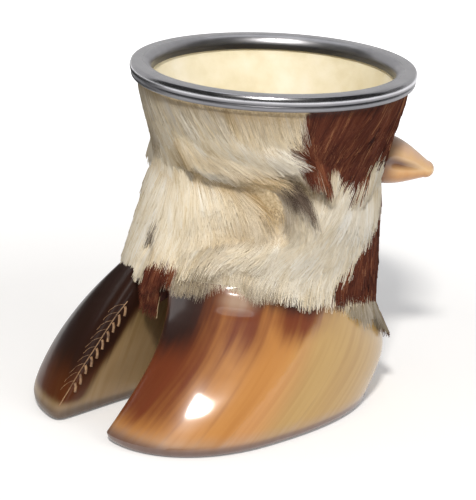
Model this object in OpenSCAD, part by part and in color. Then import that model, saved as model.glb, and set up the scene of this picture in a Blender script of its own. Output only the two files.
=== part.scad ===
// Hoof mate cup: a drinking cup made from a cow's foot. Two polished horn claws carry a sleeve of
// hair-on hide, a dry gourd liner holds the drink, and a spun metal rim closes the mouth.
// The toes point to -Y, the cup's axis is vertical, and the soles stand on Z = 0.

/* [Rim] */
// Height of the rim's top above the table
cup_h = 108; // [104:1:114]
// Outside diameter of the rim
rim_d = 90; // [89:0.5:94]
// Width of the rim, from its outside to the clear mouth
rim_w = 7; // [6.5:0.1:8]
// Height of the rim's flattened upper bead
bead_h = 2.8; // [2.4:0.1:4]
// Height of the rim's small lower bead
hem_bead_h = 2; // [1.6:0.1:3]
// How far the groove between the beads lies inside the upper bead
groove_d = 1; // [0.8:0.1:1.2]
// How far the lower bead stands out of the groove
hem_bead_out = 0.6; // [0.3:0.1:0.9]
// Thickness of the rim's sheet metal
sheet_t = 0.8; // [0.5:0.1:0.9]
// How far the rim's inner skirt hangs below its top
skirt_h = 4.5; // [4:0.5:8]

/* [Liner] */
// Height of the gourd's inside floor above the claws' upper edge, at the cup's axis
liner_lift = 9; // [8:0.5:16]
// How far inside the rim's outside the gourd's round bottom starts
liner_foot_in = 18; // [17:0.5:22]
// Height of the gourd's round bottom
liner_round_h = 16; // [12:1:20]
// Wall of the gourd at its foot
liner_wall = 3.6; // [2.5:0.1:4]
// Thickness of the gourd's bottom
liner_floor = 4; // [3:0.5:6]

/* [Hide] */
// Thickness of the hide
hide_t = 1.8; // [1.2:0.1:2]
// How far the hide's waist lies inside the rim's outside
waist_in = 8.8; // [7:0.1:9.2]
// Height of the waist below the rim's top
waist_drop = 31; // [28:1:34]
// How far the hide's lower edge, on the claws, lies inside the rim's outside
coronet_in = 5.7; // [4:0.1:7]
// How far the foot's middle lies in front of the cup's axis
foot_ahead = 5; // [3:0.5:6]
// Height at which the sleeve starts to lean forward, below the rim's top
lean_drop = 26; // [22:1:32]
// Depth of the deepest fold
fold_d = 1; // [0:0.1:1.2]
// Half width of a fold
fold_w = 2.4; // [2:0.1:4]
// Swell of the skin above the deepest fold
fold_swell = 2; // [0:0.1:3]
// Distance of that swell above its fold
swell_rise = 5; // [4:0.5:7]
// Height of the packing's upper edge below the rim's top
packing_drop = 12; // [8:1:20]
// Thickness of the skin between the claws
cleft_skin_t = 4; // [3:0.5:6]
// How much further that skin hangs at its two ends
cleft_skin_dip = 5; // [2:0.5:8]

/* [Claws] */
// Height of the claws' upper edge at the front
coronet_front_z = 47; // [44:1:50]
// Height of the claws' upper edge at the back
coronet_back_z = 25; // [20:1:28]
// Slope of the claws' upper edge, up towards the right claw
coronet_tilt = 5; // [0:0.5:7]
// Reach of the right toe in front of the cup's axis, at the sole
right_toe = 69.5; // [64:0.5:74]
// Reach of the left toe in front of the cup's axis, at the sole
left_toe = 75; // [64:0.5:78]
// Reach of the heels behind the cup's axis, at the sole
heel = 27; // [24:1:32]
// Half width of the foot at the right sole
right_half_w = 43; // [41:0.5:47]
// Half width of the foot at the left sole
left_half_w = 48; // [42:0.5:50]
// Reach of the soles' widest place in front of the cup's axis
sole_widest = 30; // [24:1:34]
// Half of the gap between the claws at the soles
cleft_sole = 11; // [7:0.5:12]
// Half of the gap between the claws at their upper edge
cleft_top = 4; // [3:0.5:5]
// Distance of the toes from the foot's middle plane, before they bend
toe_x = 14.5; // [13.5:0.5:18]
// Distance of the claws' foremost upper edge from the foot's middle plane
toe_top_x = 9; // [7:0.5:12]
// Swell of the right claw's outer wall
right_wall_swell = 1; // [0:0.5:6]
// Swell of the left claw's outer wall
left_wall_swell = 5.5; // [0:0.5:7]
// Hollow of the right toe's front wall at half height
right_toe_hollow = 7; // [0:0.5:8]
// Swell of the left toe's front wall at half height
left_toe_swell = 2; // [0:0.5:4]
// Swell of the heels at half height
heel_swell = 6; // [3:0.5:7]
// How far the claws' upper edge stands out of the hide
claw_lip = 0.8; // [0.6:0.1:2]
// Bend of the right toe's tip towards the cleft, at the sole
right_toe_bend = 3; // [0:0.5:6]
// Bend of the left toe's tip towards the cleft, at the sole
left_toe_bend = 5.5; // [0:0.5:7]
// Rounding of the sole's edge
sole_edge_r = 3; // [1.5:0.5:4]
// Wall of a horn claw
horn_t = 4.5; // [3:0.5:6]
// Thickness of a claw's sole
sole_t = 7; // [5:0.5:9]

/* [Dewclaws] */
// Height of the dewclaws' roots below the rim's top
dewclaw_drop = 30; // [26:1:34]
// Angle of the dewclaws from straight back, seen from above
dewclaw_spread = 36; // [30:1:42]
// Length of a dewclaw
dewclaw_l = 14.5; // [12:0.5:20]
// Half height of a dewclaw's root
dewclaw_root_h = 8; // [6:0.5:9]
// Half width of a dewclaw's root
dewclaw_root_w = 7.5; // [6:0.5:9]
// Half size of a dewclaw's blunt tip
dewclaw_tip = 2.8; // [2.2:0.1:4]
// Slope of the dewclaws below level
dewclaw_droop = 13; // [8:1:24]
// Wall of a dewclaw
dewclaw_t = 1.8; // [1.2:0.1:2]
// Depth of the hollow in a dewclaw
dewclaw_hollow = 9; // [6:0.5:11]

/* [Hidden] */

// Clearance between glued pieces
fit = 0.1;
// Clearance between the skin in the cleft and the claws
cleft_fit = 0.5;
// Sides of the sleeve, of a claw and of a dewclaw, and facets of the turned pieces
sleeve_n = 60;
claw_n = 40;
dewclaw_n = 24;
turned_fn = 128;
// Rings along the sleeve's outside and inside and the packing, then a claw's wall, edge and hollow,
// the seat, and a dewclaw
sleeve_steps = 28;
lining_steps = 14;
packing_steps = 12;
wall_steps = 9;
edge_steps = 3;
hollow_steps = 6;
seat_steps = 5;
dewclaw_steps = 5;
// Points of a turned outline's curves
arc_steps = 24;
// Angles of the rings on a dewclaw's round tip
tip_angles = [30, 60, 80];

// How sharply each curve bends: 1 is straight, and more starts slower
flare = 1.3;
spread = 1.2;
lean = 1.1;
seat_drop = 1.4;
liner_flare = 1.8;
dewclaw_taper = 1.2;
cleft_dip = 4;
// How full the claws' outlines are: 2 is an ellipse, and more is squarer
sole_fullness = 2.3;
top_fullness = 1.6;
cleft_fullness = 3;
// Where an outer wall swells most: 1 is at half height, and less is lower
swell_height = 0.75;

// The rim's heights and radii, and the channel that takes the liner's lip and the hide's upper edge
rim_r = rim_d / 2;
mouth_r = rim_r - rim_w;
bead_mid_z = cup_h - bead_h / 2;
bead_mid_r = (rim_r + mouth_r) / 2;
bead_half_w = (rim_r - mouth_r) / 2;
groove_r = rim_r - groove_d;
bead_end = -acos((groove_r - bead_mid_r) / bead_half_w);
hem_bead_z = cup_h - bead_h - hem_bead_h / 2;
rim_bottom_z = hem_bead_z - hem_bead_h / 2;
skirt_z = cup_h - skirt_h;
channel_in_r = mouth_r + sheet_t;
channel_out_r = groove_r - sheet_t;
channel_rise = bead_h / 2 - sheet_t;

// The hide's radii at its waist and its lower edge, and the heights of its waist and lean
waist_r = rim_r - waist_in;
coronet_r = rim_r - coronet_in;
waist_z = cup_h - waist_drop;
lean_z = cup_h - lean_drop;
dewclaw_z = cup_h - dewclaw_drop;
packing_top_z = cup_h - packing_drop;

// The foot's front and back where hide meets horn, seen from the cup's axis, and its highest place
seat_front = -foot_ahead - coronet_r;
seat_back = -foot_ahead + coronet_r;
seat_high_z = coronet_front_z + coronet_r * tan(coronet_tilt);

// The gourd's lip and the hide's collar side by side in that channel, and the gourd's round bottom
lip_z = cup_h - bead_h;
lip_in_r = channel_in_r + fit;
collar_r = channel_out_r - 2 * fit;
lip_wall = collar_r - hide_t - 3 * fit - lip_in_r;
liner_foot_r = rim_r - liner_foot_in;
liner_floor_z = seat_z(0, 0) + liner_lift;
liner_foot_z = liner_floor_z + liner_round_h;
liner_bottom_z = liner_floor_z - liner_floor;

// Each claw's toe reach, half width, side, bend of the toe, and swell of the toe and the outer wall
right_foot = [right_toe, right_half_w, 1, right_toe_bend, -right_toe_hollow, right_wall_swell];
left_foot = [left_toe, left_half_w, -1, left_toe_bend, left_toe_swell, left_wall_swell];

// Mixing two values, keeping a share between 0 and 1, and the squared-off sine and cosine of an outline
function mix(a, b, t) = a + (b - a) * t;
function share(t) = min(1, max(0, t));
function squared(v, fullness) = sign(v) * pow(abs(v), 2 / fullness);

// Height of the face where the sleeve stands on the claws, which drops towards the heels
function seat_z(x, y) =
    let (u = share((y - seat_front) / (seat_back - seat_front)))
    mix(coronet_front_z, coronet_back_z, pow(u, seat_drop)) + x * tan(coronet_tilt);

// The hide's outer face: its radius at a height, the lean of its middle, and a point on it
function hide_r(z) = z > waist_z
    ? mix(waist_r, collar_r, pow(share((z - waist_z) / (skirt_z - waist_z)), flare))
    : mix(waist_r, coronet_r, pow(share((waist_z - z) / (waist_z - seat_high_z)), spread));
function hide_lean(z) = -foot_ahead * pow(share((lean_z - z) / (lean_z - seat_high_z)), lean);
function hide_point(angle, z, r) = [r * cos(angle), hide_lean(z) + r * sin(angle), z];

// The hide's folds: points by angle and by drop below the rim's top, and the fold's strength
folds = [
    [[[-99, 19.5], [-88, 25], [-78, 29], [-54, 30], [-45, 32.5], [-37, 37.5], [-31, 42.5], [-25, 48]], 1],
    [[[-54, 21], [-45, 23.5], [-36, 26], [-26, 28.5], [-15, 31.5], [-8, 37]], 1],
    [[[0, 35], [18, 36], [38, 33]], 0.4],
    [[[146, 33], [170, 31], [200, 35], [236, 31]], 0.9],
    [[[148, 19], [180, 23], [216, 20]], 0.6],
    [[[105, 49], [150, 54], [182, 50]], 0.6]
];
// The width of the swell above a fold, and how far a fold fades at its ends and at the hide's edges
swell_w = 3.4;
fold_fade = 12;
edge_fade = 5;

// A fold's points laid flat, with the angle as a distance along the waist, and its length up to a point
function flat_x(angle, start) = ((angle - start + 540) % 360 - 180) * waist_r * PI / 180;
function flat_line(line) = [for (p = line) [flat_x(p[0], line[0][0]), cup_h - p[1]]];
function run_to(line, k) = k == 0 ? 0 : run_to(line, k - 1) + norm(line[k] - line[k - 1]);

// The nearest place on a flat line: the distance to it, on which side it is, and its length along the line
function nearest(p, line) =
    let (
        stretches = [
            for (k = [1 : len(line) - 1])
                let (
                    run = line[k] - line[k - 1],
                    t = share((p - line[k - 1]) * run / (run * run)),
                    off = p - line[k - 1] - t * run
                )
                [norm(off), sign(run[0] * off[1] - run[1] * off[0]), run_to(line, k - 1) + t * norm(run)]
        ],
        least = min([for (found = stretches) found[0]])
    )
    [for (found = stretches) if (found[0] == least) found][0];
function soft_step(t) = pow(share(t), 2) * (3 - 2 * share(t));
function bell(t) = exp(-t * t);

// How far the folds and the swells above them stand out of the hide's face
function fold_out(angle, z, fold) =
    let (
        line = flat_line(fold[0]),
        found = nearest([flat_x(angle, fold[0][0][0]), z], line),
        left = run_to(line, len(line) - 1) - found[2],
        fade = soft_step(min(found[2], left) / fold_fade),
        swell = fold_swell * bell((found[0] * found[1] - swell_rise) / swell_w)
    )
    fold[1] * fade * (swell - fold_d * bell(found[0] / fold_w));
function folds_out(angle, z, low_z) =
    soft_step((z - low_z) / edge_fade) * soft_step((rim_bottom_z - z) / edge_fade)
        * [for (fold = folds) fold_out(angle, z, fold)] * [for (fold = folds) 1];

// A ring of the sleeve, at a share of the way from the claws up to a height, inset from the hide's face
function sleeve_ring(t, top_z, inset, folded = false) = [
    for (i = [0 : sleeve_n - 1])
        let (
            angle = 360 * i / sleeve_n,
            low_r = coronet_r - inset,
            low_z = seat_z(low_r * cos(angle), low_r * sin(angle) - foot_ahead) + fit,
            z = mix(low_z, top_z, t)
        )
        hide_point(angle, z, hide_r(z) - inset + (folded ? folds_out(angle, z, low_z) : 0))
];

// A ring drawn in towards its middle by a share, on the face where the sleeve stands on the claws
function seat_ring(ring, size, lift, side = 1) =
    let (mid = [for (axis = [0, 1]) reach_mid([for (p = ring) p[axis]])])
    [
        for (p = ring)
            let (x = mix(mid[0], p[0], size), y = mix(mid[1], p[1], size))
            [x, y, seat_z(side * x, y) + lift]
    ];
function reach_mid(values) = (min(values) + max(values)) / 2;
seat_sizes = [for (k = [1 : seat_steps]) k / (seat_steps + 1)];

// A level ring with the sleeve's sides, drawn around a circle
function level_ring(r, z) =
    let (corner_r = r / cos(180 / sleeve_n))
    [for (i = [0 : sleeve_n - 1]) let (a = 360 * i / sleeve_n) [corner_r * cos(a), corner_r * sin(a), z]];

// The gourd's inside and outside radii at a height
function liner_rise(z) = pow(share((z - liner_foot_z) / (skirt_z - fit - liner_foot_z)), liner_flare);
function liner_in_r(z) = z > liner_foot_z
    ? mix(liner_foot_r, lip_in_r, liner_rise(z))
    : liner_foot_r * sqrt(share(1 - pow((liner_foot_z - z) / liner_round_h, 2)));
function liner_out_r(z) =
    let (drop = (liner_foot_z - z) / (liner_round_h + liner_floor))
    z > liner_foot_z
        ? liner_in_r(z) + mix(liner_wall, lip_wall, liner_rise(z))
        : (liner_foot_r + liner_wall) * sqrt(share(1 - pow(drop, 2)));

// A height between the gourd's bottom and its lip, closer together near the bottom
function liner_step(low_z, k, steps) = mix(low_z, lip_z, pow(k / steps, 2));

// A claw's outline in its own frame, x outwards from the foot's middle plane. The share s runs from
// the sole to the upper edge, and inset draws the outline in all round
function claw_outline(foot, s, inset) =
    let (
        toe_y = mix(-foot[0], seat_front - claw_lip, s) - foot[4] * sin(180 * s) + inset,
        heel_y = mix(heel, seat_back + claw_lip, s) + heel_swell * sin(180 * s) - inset,
        out_x = mix(foot[1], coronet_r + claw_lip, s) + foot[5] * sin(180 * pow(s, swell_height)) - inset,
        in_x = mix(cleft_sole, cleft_top, s) + inset,
        mid_x = mix(toe_x, toe_top_x, s) + inset,
        mid_y = mix(-sole_widest, -foot_ahead, s)
    )
    [
        for (i = [0 : claw_n - 1])
            let (
                a = 360 * i / claw_n,
                outer = cos(a) > 0,
                fullness = outer ? mix(sole_fullness, top_fullness, s) : cleft_fullness,
                reach_x = outer ? out_x - mid_x : mid_x - in_x,
                reach_y = sin(a) < 0 ? mid_y - toe_y : heel_y - mid_y,
                ahead = share(-squared(sin(a), fullness)),
                bend = foot[3] * (1 - s) * ahead * ahead
            )
            [mid_x + reach_x * squared(cos(a), fullness) - bend, mid_y + reach_y * squared(sin(a), fullness)]
    ];

// That outline with each point at a share t of the way from a level up to the face where the sleeve stands
function claw_ring(foot, s, inset, low_z, t) =
    [for (p = claw_outline(foot, s, inset)) [p[0], p[1], mix(low_z, seat_z(foot[2] * p[0], p[1]), t)]];
function claw_wall(foot) =
    [for (k = [0 : wall_steps]) let (t = k / wall_steps) claw_ring(foot, t, 0, sole_edge_r, t)];
function claw_hollow(foot, clear) = [
    for (k = [0 : hollow_steps])
        let (t = k / hollow_steps, s = mix(sole_t / coronet_front_z, 1, t))
        claw_ring(foot, s, horn_t + clear, sole_t + clear, t)
];

// A dewclaw's ring: on the hide at its root, and square to its axis further out
function dewclaw_ring(heading, along, inset, scale = 1) =
    let (
        t = along / dewclaw_l,
        root = hide_point(heading, dewclaw_z, hide_r(dewclaw_z)),
        axis = [cos(heading) * cos(dewclaw_droop), sin(heading) * cos(dewclaw_droop), -sin(dewclaw_droop)],
        side = [-sin(heading), cos(heading), 0],
        up = cross(axis, side),
        w = (mix(dewclaw_root_w, dewclaw_tip, pow(share(t), dewclaw_taper)) - inset) * scale,
        h = (mix(dewclaw_root_h, dewclaw_tip, pow(share(t), dewclaw_taper)) - inset) * scale
    )
    [
        for (i = [0 : dewclaw_n - 1])
            let (a = 360 * i / dewclaw_n)
            along == 0
                ? hide_face(heading + w * cos(a) / hide_r(dewclaw_z) * 180 / PI, dewclaw_z + h * sin(a))
                : root + axis * along + side * (w * cos(a)) + up * (h * sin(a))
    ];
function hide_face(angle, z) = hide_point(angle, z, hide_r(z) + fit);
function dewclaw_body(heading) = [
    for (k = [0 : dewclaw_steps]) dewclaw_ring(heading, dewclaw_l * k / dewclaw_steps, 0)
];
function dewclaw_dome(heading) = [
    for (a = tip_angles) dewclaw_ring(heading, dewclaw_l + dewclaw_tip * sin(a), 0, cos(a))
];
function dewclaw_inside(heading, clear) = [
    for (k = [dewclaw_steps : -1 : 0])
        dewclaw_ring(heading, (dewclaw_hollow - clear) * k / dewclaw_steps, dewclaw_t + clear)
];
right_heading = 90 - dewclaw_spread;
left_heading = 90 + dewclaw_spread;

// The cup's axis over the middle of the footprint, from the reach of the toes, dewclaws, claws and rim
function reach(rings, axis) = [for (ring = rings) for (p = ring) p[axis]];
right_wall = claw_wall(right_foot);
left_wall = claw_wall(left_foot);
front_y = min(concat(reach(right_wall, 1), reach(left_wall, 1)));
back_y = max(concat([rim_r], reach(dewclaw_dome(right_heading), 1)));
right_x = max(concat([rim_r], reach(right_wall, 0)));
left_x = -max(concat([rim_r], reach(left_wall, 0)));
cup_at = [-(right_x + left_x) / 2, -(front_y + back_y) / 2, 0];

module placed() translate(cup_at) children();

// A solid through rings of equal length that run up its outside, closed into a hoop or capped
module loft(rings, hoop = false) {
    n = len(rings[0]);
    m = len(rings);
    points = [for (ring = rings) each ring];
    sides = [
        for (k = [0 : hoop ? m - 1 : m - 2])
            for (i = [0 : n - 1])
                let (j = (i + 1) % n, low = k * n, high = ((k + 1) % m) * n)
                each [[low + i, high + j, low + j], [low + i, high + i, high + j]]
    ];
    last = (m - 1) * n;
    first_cap = [for (i = [1 : n - 2]) [0, i, i + 1]];
    last_cap = [for (i = [1 : n - 2]) [last, last + i + 1, last + i]];
    polyhedron(points, hoop ? sides : concat(sides, first_cap, last_cap), convexity = 6);
}

// The spun metal rim: a flattened bead, a groove, a small bead, and a skirt inside the mouth
module rim() {
    bead = [
        for (k = [0 : arc_steps])
            let (a = mix(180, bead_end, k / arc_steps))
            [bead_mid_r + bead_half_w * cos(a), bead_mid_z + bead_h / 2 * sin(a)]
    ];
    hem = [
        for (k = [0 : arc_steps / 2])
            let (a = mix(90, -90, 2 * k / arc_steps))
            [groove_r + hem_bead_out * cos(a), hem_bead_z + hem_bead_h / 2 * sin(a)]
    ];
    channel = [
        for (k = [0 : arc_steps / 2])
            let (a = mix(0, 180, 2 * k / arc_steps))
            [mix(channel_out_r, channel_in_r, (1 - cos(a)) / 2), bead_mid_z + channel_rise * sin(a)]
    ];
    ends = [[channel_in_r, skirt_z], [mouth_r, skirt_z]];
    color("silver")
        placed()
            rotate_extrude($fn = turned_fn)
                polygon(concat(bead, hem, [[channel_out_r, rim_bottom_z]], channel, ends));
}

// The setting compound that fills the rim's bead above the gourd's lip and the hide's edge
module rim_bedding() {
    crown = [
        for (k = [0 : arc_steps / 2])
            let (a = mix(0, 180, 2 * k / arc_steps))
            [
                mix(channel_out_r - fit, channel_in_r + fit, (1 - cos(a)) / 2),
                bead_mid_z - fit + (channel_rise - fit) * sin(a)
            ]
    ];
    floor_z = lip_z + fit;
    color("gray")
        placed()
            rotate_extrude($fn = turned_fn)
                polygon(concat(crown, [[channel_in_r + fit, floor_z], [channel_out_r - fit, floor_z]]));
}

// The dry gourd that holds the drink
module liner() {
    inside = [
        for (k = [0 : arc_steps]) let (z = liner_step(liner_floor_z, k, arc_steps)) [liner_in_r(z), z]
    ];
    outside = [
        for (k = [arc_steps : -1 : 0]) let (z = liner_step(liner_bottom_z, k, arc_steps)) [liner_out_r(z), z]
    ];
    color("cornsilk")
        placed()
            rotate_extrude($fn = turned_fn)
                polygon(concat(inside, outside));
}

// The packing between the gourd and the hide, flat and sloping where it stands on the claws
module packing() {
    pocket_low_z = liner_bottom_z - fit;
    outside = [
        for (k = [0 : packing_steps]) sleeve_ring(k / packing_steps, packing_top_z, hide_t + fit)
    ];
    seat = [for (size = seat_sizes) seat_ring(outside[0], size, fit)];
    function pocket_z(k) = mix(pocket_low_z, packing_top_z, pow(k / packing_steps, 2));
    function pocket_r(k) = liner_out_r(pocket_z(k) + fit) + fit;
    pocket = [for (k = [packing_steps : -1 : 1]) level_ring(pocket_r(k), pocket_z(k))];
    pocket_floor = level_ring(pocket_r(1), pocket_low_z);
    color("tan")
        placed()
            loft(concat(seat, outside, pocket, [pocket_floor]));
}

// The sleeve of hair-on hide, from the claws up into the rim
module hide_sleeve() {
    outside = [for (k = [0 : sleeve_steps]) sleeve_ring(k / sleeve_steps, lip_z, 0, folded = true)];
    inside = [for (k = [lining_steps : -1 : 0]) sleeve_ring(k / lining_steps, lip_z, hide_t)];
    color("linen")
        placed()
            loft(concat(outside, inside), hoop = true);
}

// The skin that closes the cleft between the claws, and hangs deeper at the front and back
module cleft_skin() {
    half_w = cleft_top - cleft_fit;
    function top_z(y) = seat_z(-half_w, y);
    places = [for (k = [0 : arc_steps]) k / arc_steps];
    high_edge = [for (u = places) let (y = mix(seat_front, seat_back, u)) [y, top_z(y)]];
    low_edge = [
        for (k = [arc_steps : -1 : 0])
            let (drop = cleft_skin_t + cleft_skin_dip * pow(2 * places[k] - 1, cleft_dip))
            high_edge[k] - [0, drop]
    ];
    color("sienna")
        placed()
            translate([-half_w, 0, 0])
                rotate([90, 0, 90])
                    linear_extrude(2 * half_w)
                        polygon(concat(high_edge, low_edge));
}

// A hollow horn claw with a flat sole and a rounded edge
module claw(foot, wall) {
    edge = [
        for (k = [0 : edge_steps - 1])
            let (a = 90 * k / edge_steps)
            claw_ring(foot, 0, sole_edge_r * (1 - sin(a)), sole_edge_r * (1 - cos(a)), 0)
    ];
    hollow = claw_hollow(foot, 0);
    loft(concat(edge, wall, [for (k = [hollow_steps : -1 : 0]) hollow[k]]));
}

module right_claw() color("peru") placed() claw(right_foot, right_wall);

module left_claw() color("saddlebrown") placed() mirror([1, 0, 0]) claw(left_foot, left_wall);

// The cast core that fills a claw and carries the packing
module claw_core(foot) {
    sides = claw_hollow(foot, fit);
    top = [for (k = [seat_steps - 1 : -1 : 0]) seat_ring(sides[hollow_steps], seat_sizes[k], 0, foot[2])];
    loft(concat(sides, top));
}

module right_claw_core() color("burlywood") placed() claw_core(right_foot);

module left_claw_core() color("burlywood") placed() mirror([1, 0, 0]) claw_core(left_foot);

// A hollow dewclaw of horn on the back of the sleeve
module dewclaw(heading) {
    body = dewclaw_body(heading);
    loft(concat(dewclaw_inside(heading, 0), body, dewclaw_dome(heading)));
}

module right_dewclaw() color("goldenrod") placed() dewclaw(right_heading);

module left_dewclaw() color("goldenrod") placed() dewclaw(left_heading);

// The core that fills a dewclaw, hollowed at its root to lie on the hide
module dewclaw_core(heading) {
    inside = dewclaw_inside(heading, fit);
    half = dewclaw_ring(heading, 0, dewclaw_t + fit, 0.5);
    loft(concat([half], [for (k = [dewclaw_steps : -1 : 0]) inside[k]]));
}

module right_dewclaw_core() color("burlywood") placed() dewclaw_core(right_heading);

module left_dewclaw_core() color("burlywood") placed() dewclaw_core(left_heading);

rim();
rim_bedding();
liner();
packing();
hide_sleeve();
cleft_skin();
right_claw();
left_claw();
right_claw_core();
left_claw_core();
right_dewclaw();
left_dewclaw();
right_dewclaw_core();
left_dewclaw_core();
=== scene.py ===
"""The looks of a hoof mate cup: polished horn claws, a coat of cow hair on the hide sleeve, a pale gourd
inside and a spun metal rim. Sizes are in millimetres and angles in degrees, unless a name says otherwise.
Angles run round the cup from +X towards +Y, and the toes point to -Y."""
import math
from functools import partial

import bmesh
import bpy
import numpy as np
from mathutils import Matrix, Vector


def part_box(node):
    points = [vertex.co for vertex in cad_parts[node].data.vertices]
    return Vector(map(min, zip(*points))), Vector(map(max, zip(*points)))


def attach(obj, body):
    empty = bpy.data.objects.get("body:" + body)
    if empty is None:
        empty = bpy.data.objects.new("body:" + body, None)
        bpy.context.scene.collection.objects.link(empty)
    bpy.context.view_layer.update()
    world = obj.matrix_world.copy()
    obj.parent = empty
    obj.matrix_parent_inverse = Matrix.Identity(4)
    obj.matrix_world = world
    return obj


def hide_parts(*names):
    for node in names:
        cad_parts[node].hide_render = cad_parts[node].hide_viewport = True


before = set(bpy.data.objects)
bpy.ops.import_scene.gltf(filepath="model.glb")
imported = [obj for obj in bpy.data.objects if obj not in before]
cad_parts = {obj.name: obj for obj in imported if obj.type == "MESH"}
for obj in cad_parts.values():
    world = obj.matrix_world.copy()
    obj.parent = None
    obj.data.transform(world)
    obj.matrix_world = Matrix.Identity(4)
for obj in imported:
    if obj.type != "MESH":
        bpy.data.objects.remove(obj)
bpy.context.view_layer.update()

MM = 0.001
BODY = "root"

# Sizes of the solids, from the frame and from the design
rim_low, rim_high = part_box("rim")
CUP_AT = np.array([rim_low.x + rim_high.x, rim_low.y + rim_high.y, 0]) / 2 / MM
RIM_R = (rim_high.x - rim_low.x) / 2 / MM
CUP_H = rim_high.z / MM
FIT = 0.1
RIM_W, BEAD_H, HEM_BEAD_H, GROOVE_D, HEM_BEAD_OUT = 7.0, 2.8, 2.0, 1.0, 0.6
SHEET_T, SKIRT_H = 0.8, 4.5
LINER_LIFT, LINER_FOOT_IN, LINER_ROUND_H, LINER_WALL, LINER_FLOOR = 9.0, 18.0, 16.0, 3.6, 4.0
HIDE_T, WAIST_IN, WAIST_DROP, CORONET_IN, FOOT_AHEAD, LEAN_DROP = 1.8, 8.8, 31.0, 5.7, 5.0, 26.0
FOLD_D, FOLD_W, FOLD_SWELL, SWELL_RISE, SWELL_W, FOLD_FADE, EDGE_FADE = 1.0, 2.4, 2.0, 5.0, 3.4, 12.0, 5.0
CORONET_FRONT_Z, CORONET_BACK_Z, CORONET_TILT = 47.0, 25.0, 5.0
HEEL, SOLE_WIDEST, CLEFT_SOLE, CLEFT_TOP, TOE_X, TOE_TOP_X = 27.0, 30.0, 11.0, 4.0, 14.5, 9.0
HEEL_SWELL, CLAW_LIP = 6.0, 0.8
SOLE_EDGE_R, HORN_T, SOLE_T = 3.0, 4.5, 7.0
CLEFT_SKIN_T, CLEFT_SKIN_DIP, CLEFT_FIT = 4.0, 5.0, 0.5
DEWCLAW_DROP, DEWCLAW_SPREAD, DEWCLAW_L, DEWCLAW_TIP = 30.0, 36.0, 14.5, 2.8
DEWCLAW_ROOT_H, DEWCLAW_ROOT_W, DEWCLAW_DROOP, DEWCLAW_T, DEWCLAW_HOLLOW = 8.0, 7.5, 13.0, 1.8, 9.0
FLARE, SPREAD, LEAN, SEAT_DROP, LINER_FLARE, DEWCLAW_TAPER, CLEFT_DIP = 1.3, 1.2, 1.1, 1.4, 1.8, 1.2, 4
SOLE_FULLNESS, TOP_FULLNESS, CLEFT_FULLNESS, SWELL_HEIGHT = 2.3, 1.6, 3.0, 0.75

# Each claw's toe reach, half width, side, bend of the toe, and swell of the toe and the outer wall
RIGHT_FOOT = (69.5, 43.0, 1, 3.0, -7.0, 1.0)
LEFT_FOOT = (75.0, 48.0, -1, 5.5, 2.0, 5.5)

MOUTH_R = RIM_R - RIM_W
GROOVE_R = RIM_R - GROOVE_D
CHANNEL_IN_R, CHANNEL_OUT_R = MOUTH_R + SHEET_T, GROOVE_R - SHEET_T
BEAD_MID_Z = CUP_H - BEAD_H / 2
HEM_BEAD_Z = CUP_H - BEAD_H - HEM_BEAD_H / 2
RIM_BOTTOM_Z = HEM_BEAD_Z - HEM_BEAD_H / 2
SKIRT_Z = CUP_H - SKIRT_H
LIP_Z = CUP_H - BEAD_H
WAIST_R, CORONET_R = RIM_R - WAIST_IN, RIM_R - CORONET_IN
COLLAR_R = CHANNEL_OUT_R - 2 * FIT
LIP_IN_R = CHANNEL_IN_R + FIT
LIP_WALL = COLLAR_R - HIDE_T - 3 * FIT - LIP_IN_R
WAIST_Z, LEAN_Z, DEWCLAW_Z = (CUP_H - drop for drop in (WAIST_DROP, LEAN_DROP, DEWCLAW_DROP))
SEAT_FRONT, SEAT_BACK = -FOOT_AHEAD - CORONET_R, -FOOT_AHEAD + CORONET_R
TILT = math.tan(math.radians(CORONET_TILT))
SEAT_HIGH_Z = CORONET_FRONT_Z + CORONET_R * TILT
LINER_FOOT_R = RIM_R - LINER_FOOT_IN


def mix(a, b, t):
    return a + (b - a) * t


def share(t):
    return np.clip(t, 0, 1)


def smooth_step(low, high, value):
    t = share((value - low) / (high - low))
    return t * t * (3 - 2 * t)


def bell(value):
    return np.exp(-value * value)


def spot(value, middle, half):
    return bell((value - middle) / half)


def seat_z(x, y):
    """Height of the face where the hide stands on the claws."""
    along = share((y - SEAT_FRONT) / (SEAT_BACK - SEAT_FRONT))
    return mix(CORONET_FRONT_Z, CORONET_BACK_Z, along ** SEAT_DROP) + x * TILT


# Nodes and colours

def linear(code):
    """A colour written as sRGB hex, as linear red, green, blue and alpha."""
    parts = [int(code[i : i + 2], 16) / 255 for i in (1, 3, 5)]
    return tuple(c / 12.92 if c <= 0.04045 else ((c + 0.055) / 1.055) ** 2.4 for c in parts) + (1.0,)


def put(tree, kind, inputs=(), **settings):
    """Adds a node with its settings. Inputs go by name, or in order from the first: one given a node or an
    output is linked, and any other value is set. A hex colour is turned to linear, and stops are a colour
    ramp's places and colours."""
    made = tree.nodes.new(kind)
    stops = settings.pop("stops", ())
    for name, value in settings.items():
        setattr(made, name, value)
    for k, (place, colour) in enumerate(stops):
        ramp = made.color_ramp.elements
        stop = ramp[k] if k < 2 else ramp.new(place)
        stop.position, stop.color = place, linear(colour)
    for key, value in inputs.items() if isinstance(inputs, dict) else enumerate(inputs):
        found = [s for s in made.inputs if s.enabled and s.name == key]
        socket = made.inputs[key] if isinstance(key, int) else found[0]
        if isinstance(value, bpy.types.Node):
            value = next(s for s in value.outputs if s.enabled)
        if isinstance(value, bpy.types.NodeSocket):
            tree.links.new(value, socket)
        else:
            socket.default_value = linear(value) if str(value).startswith("#") else value
    return made


def new_material(name):
    """An empty material, and the function that adds a node to it."""
    made = bpy.data.materials.new(name)
    made.use_nodes = True
    made.node_tree.nodes.clear()
    return made, partial(put, made.node_tree)


def shade(add, inputs):
    """Ends a material with a Principled shader."""
    add("ShaderNodeOutputMaterial", {"Surface": add("ShaderNodeBsdfPrincipled", inputs)})


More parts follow.
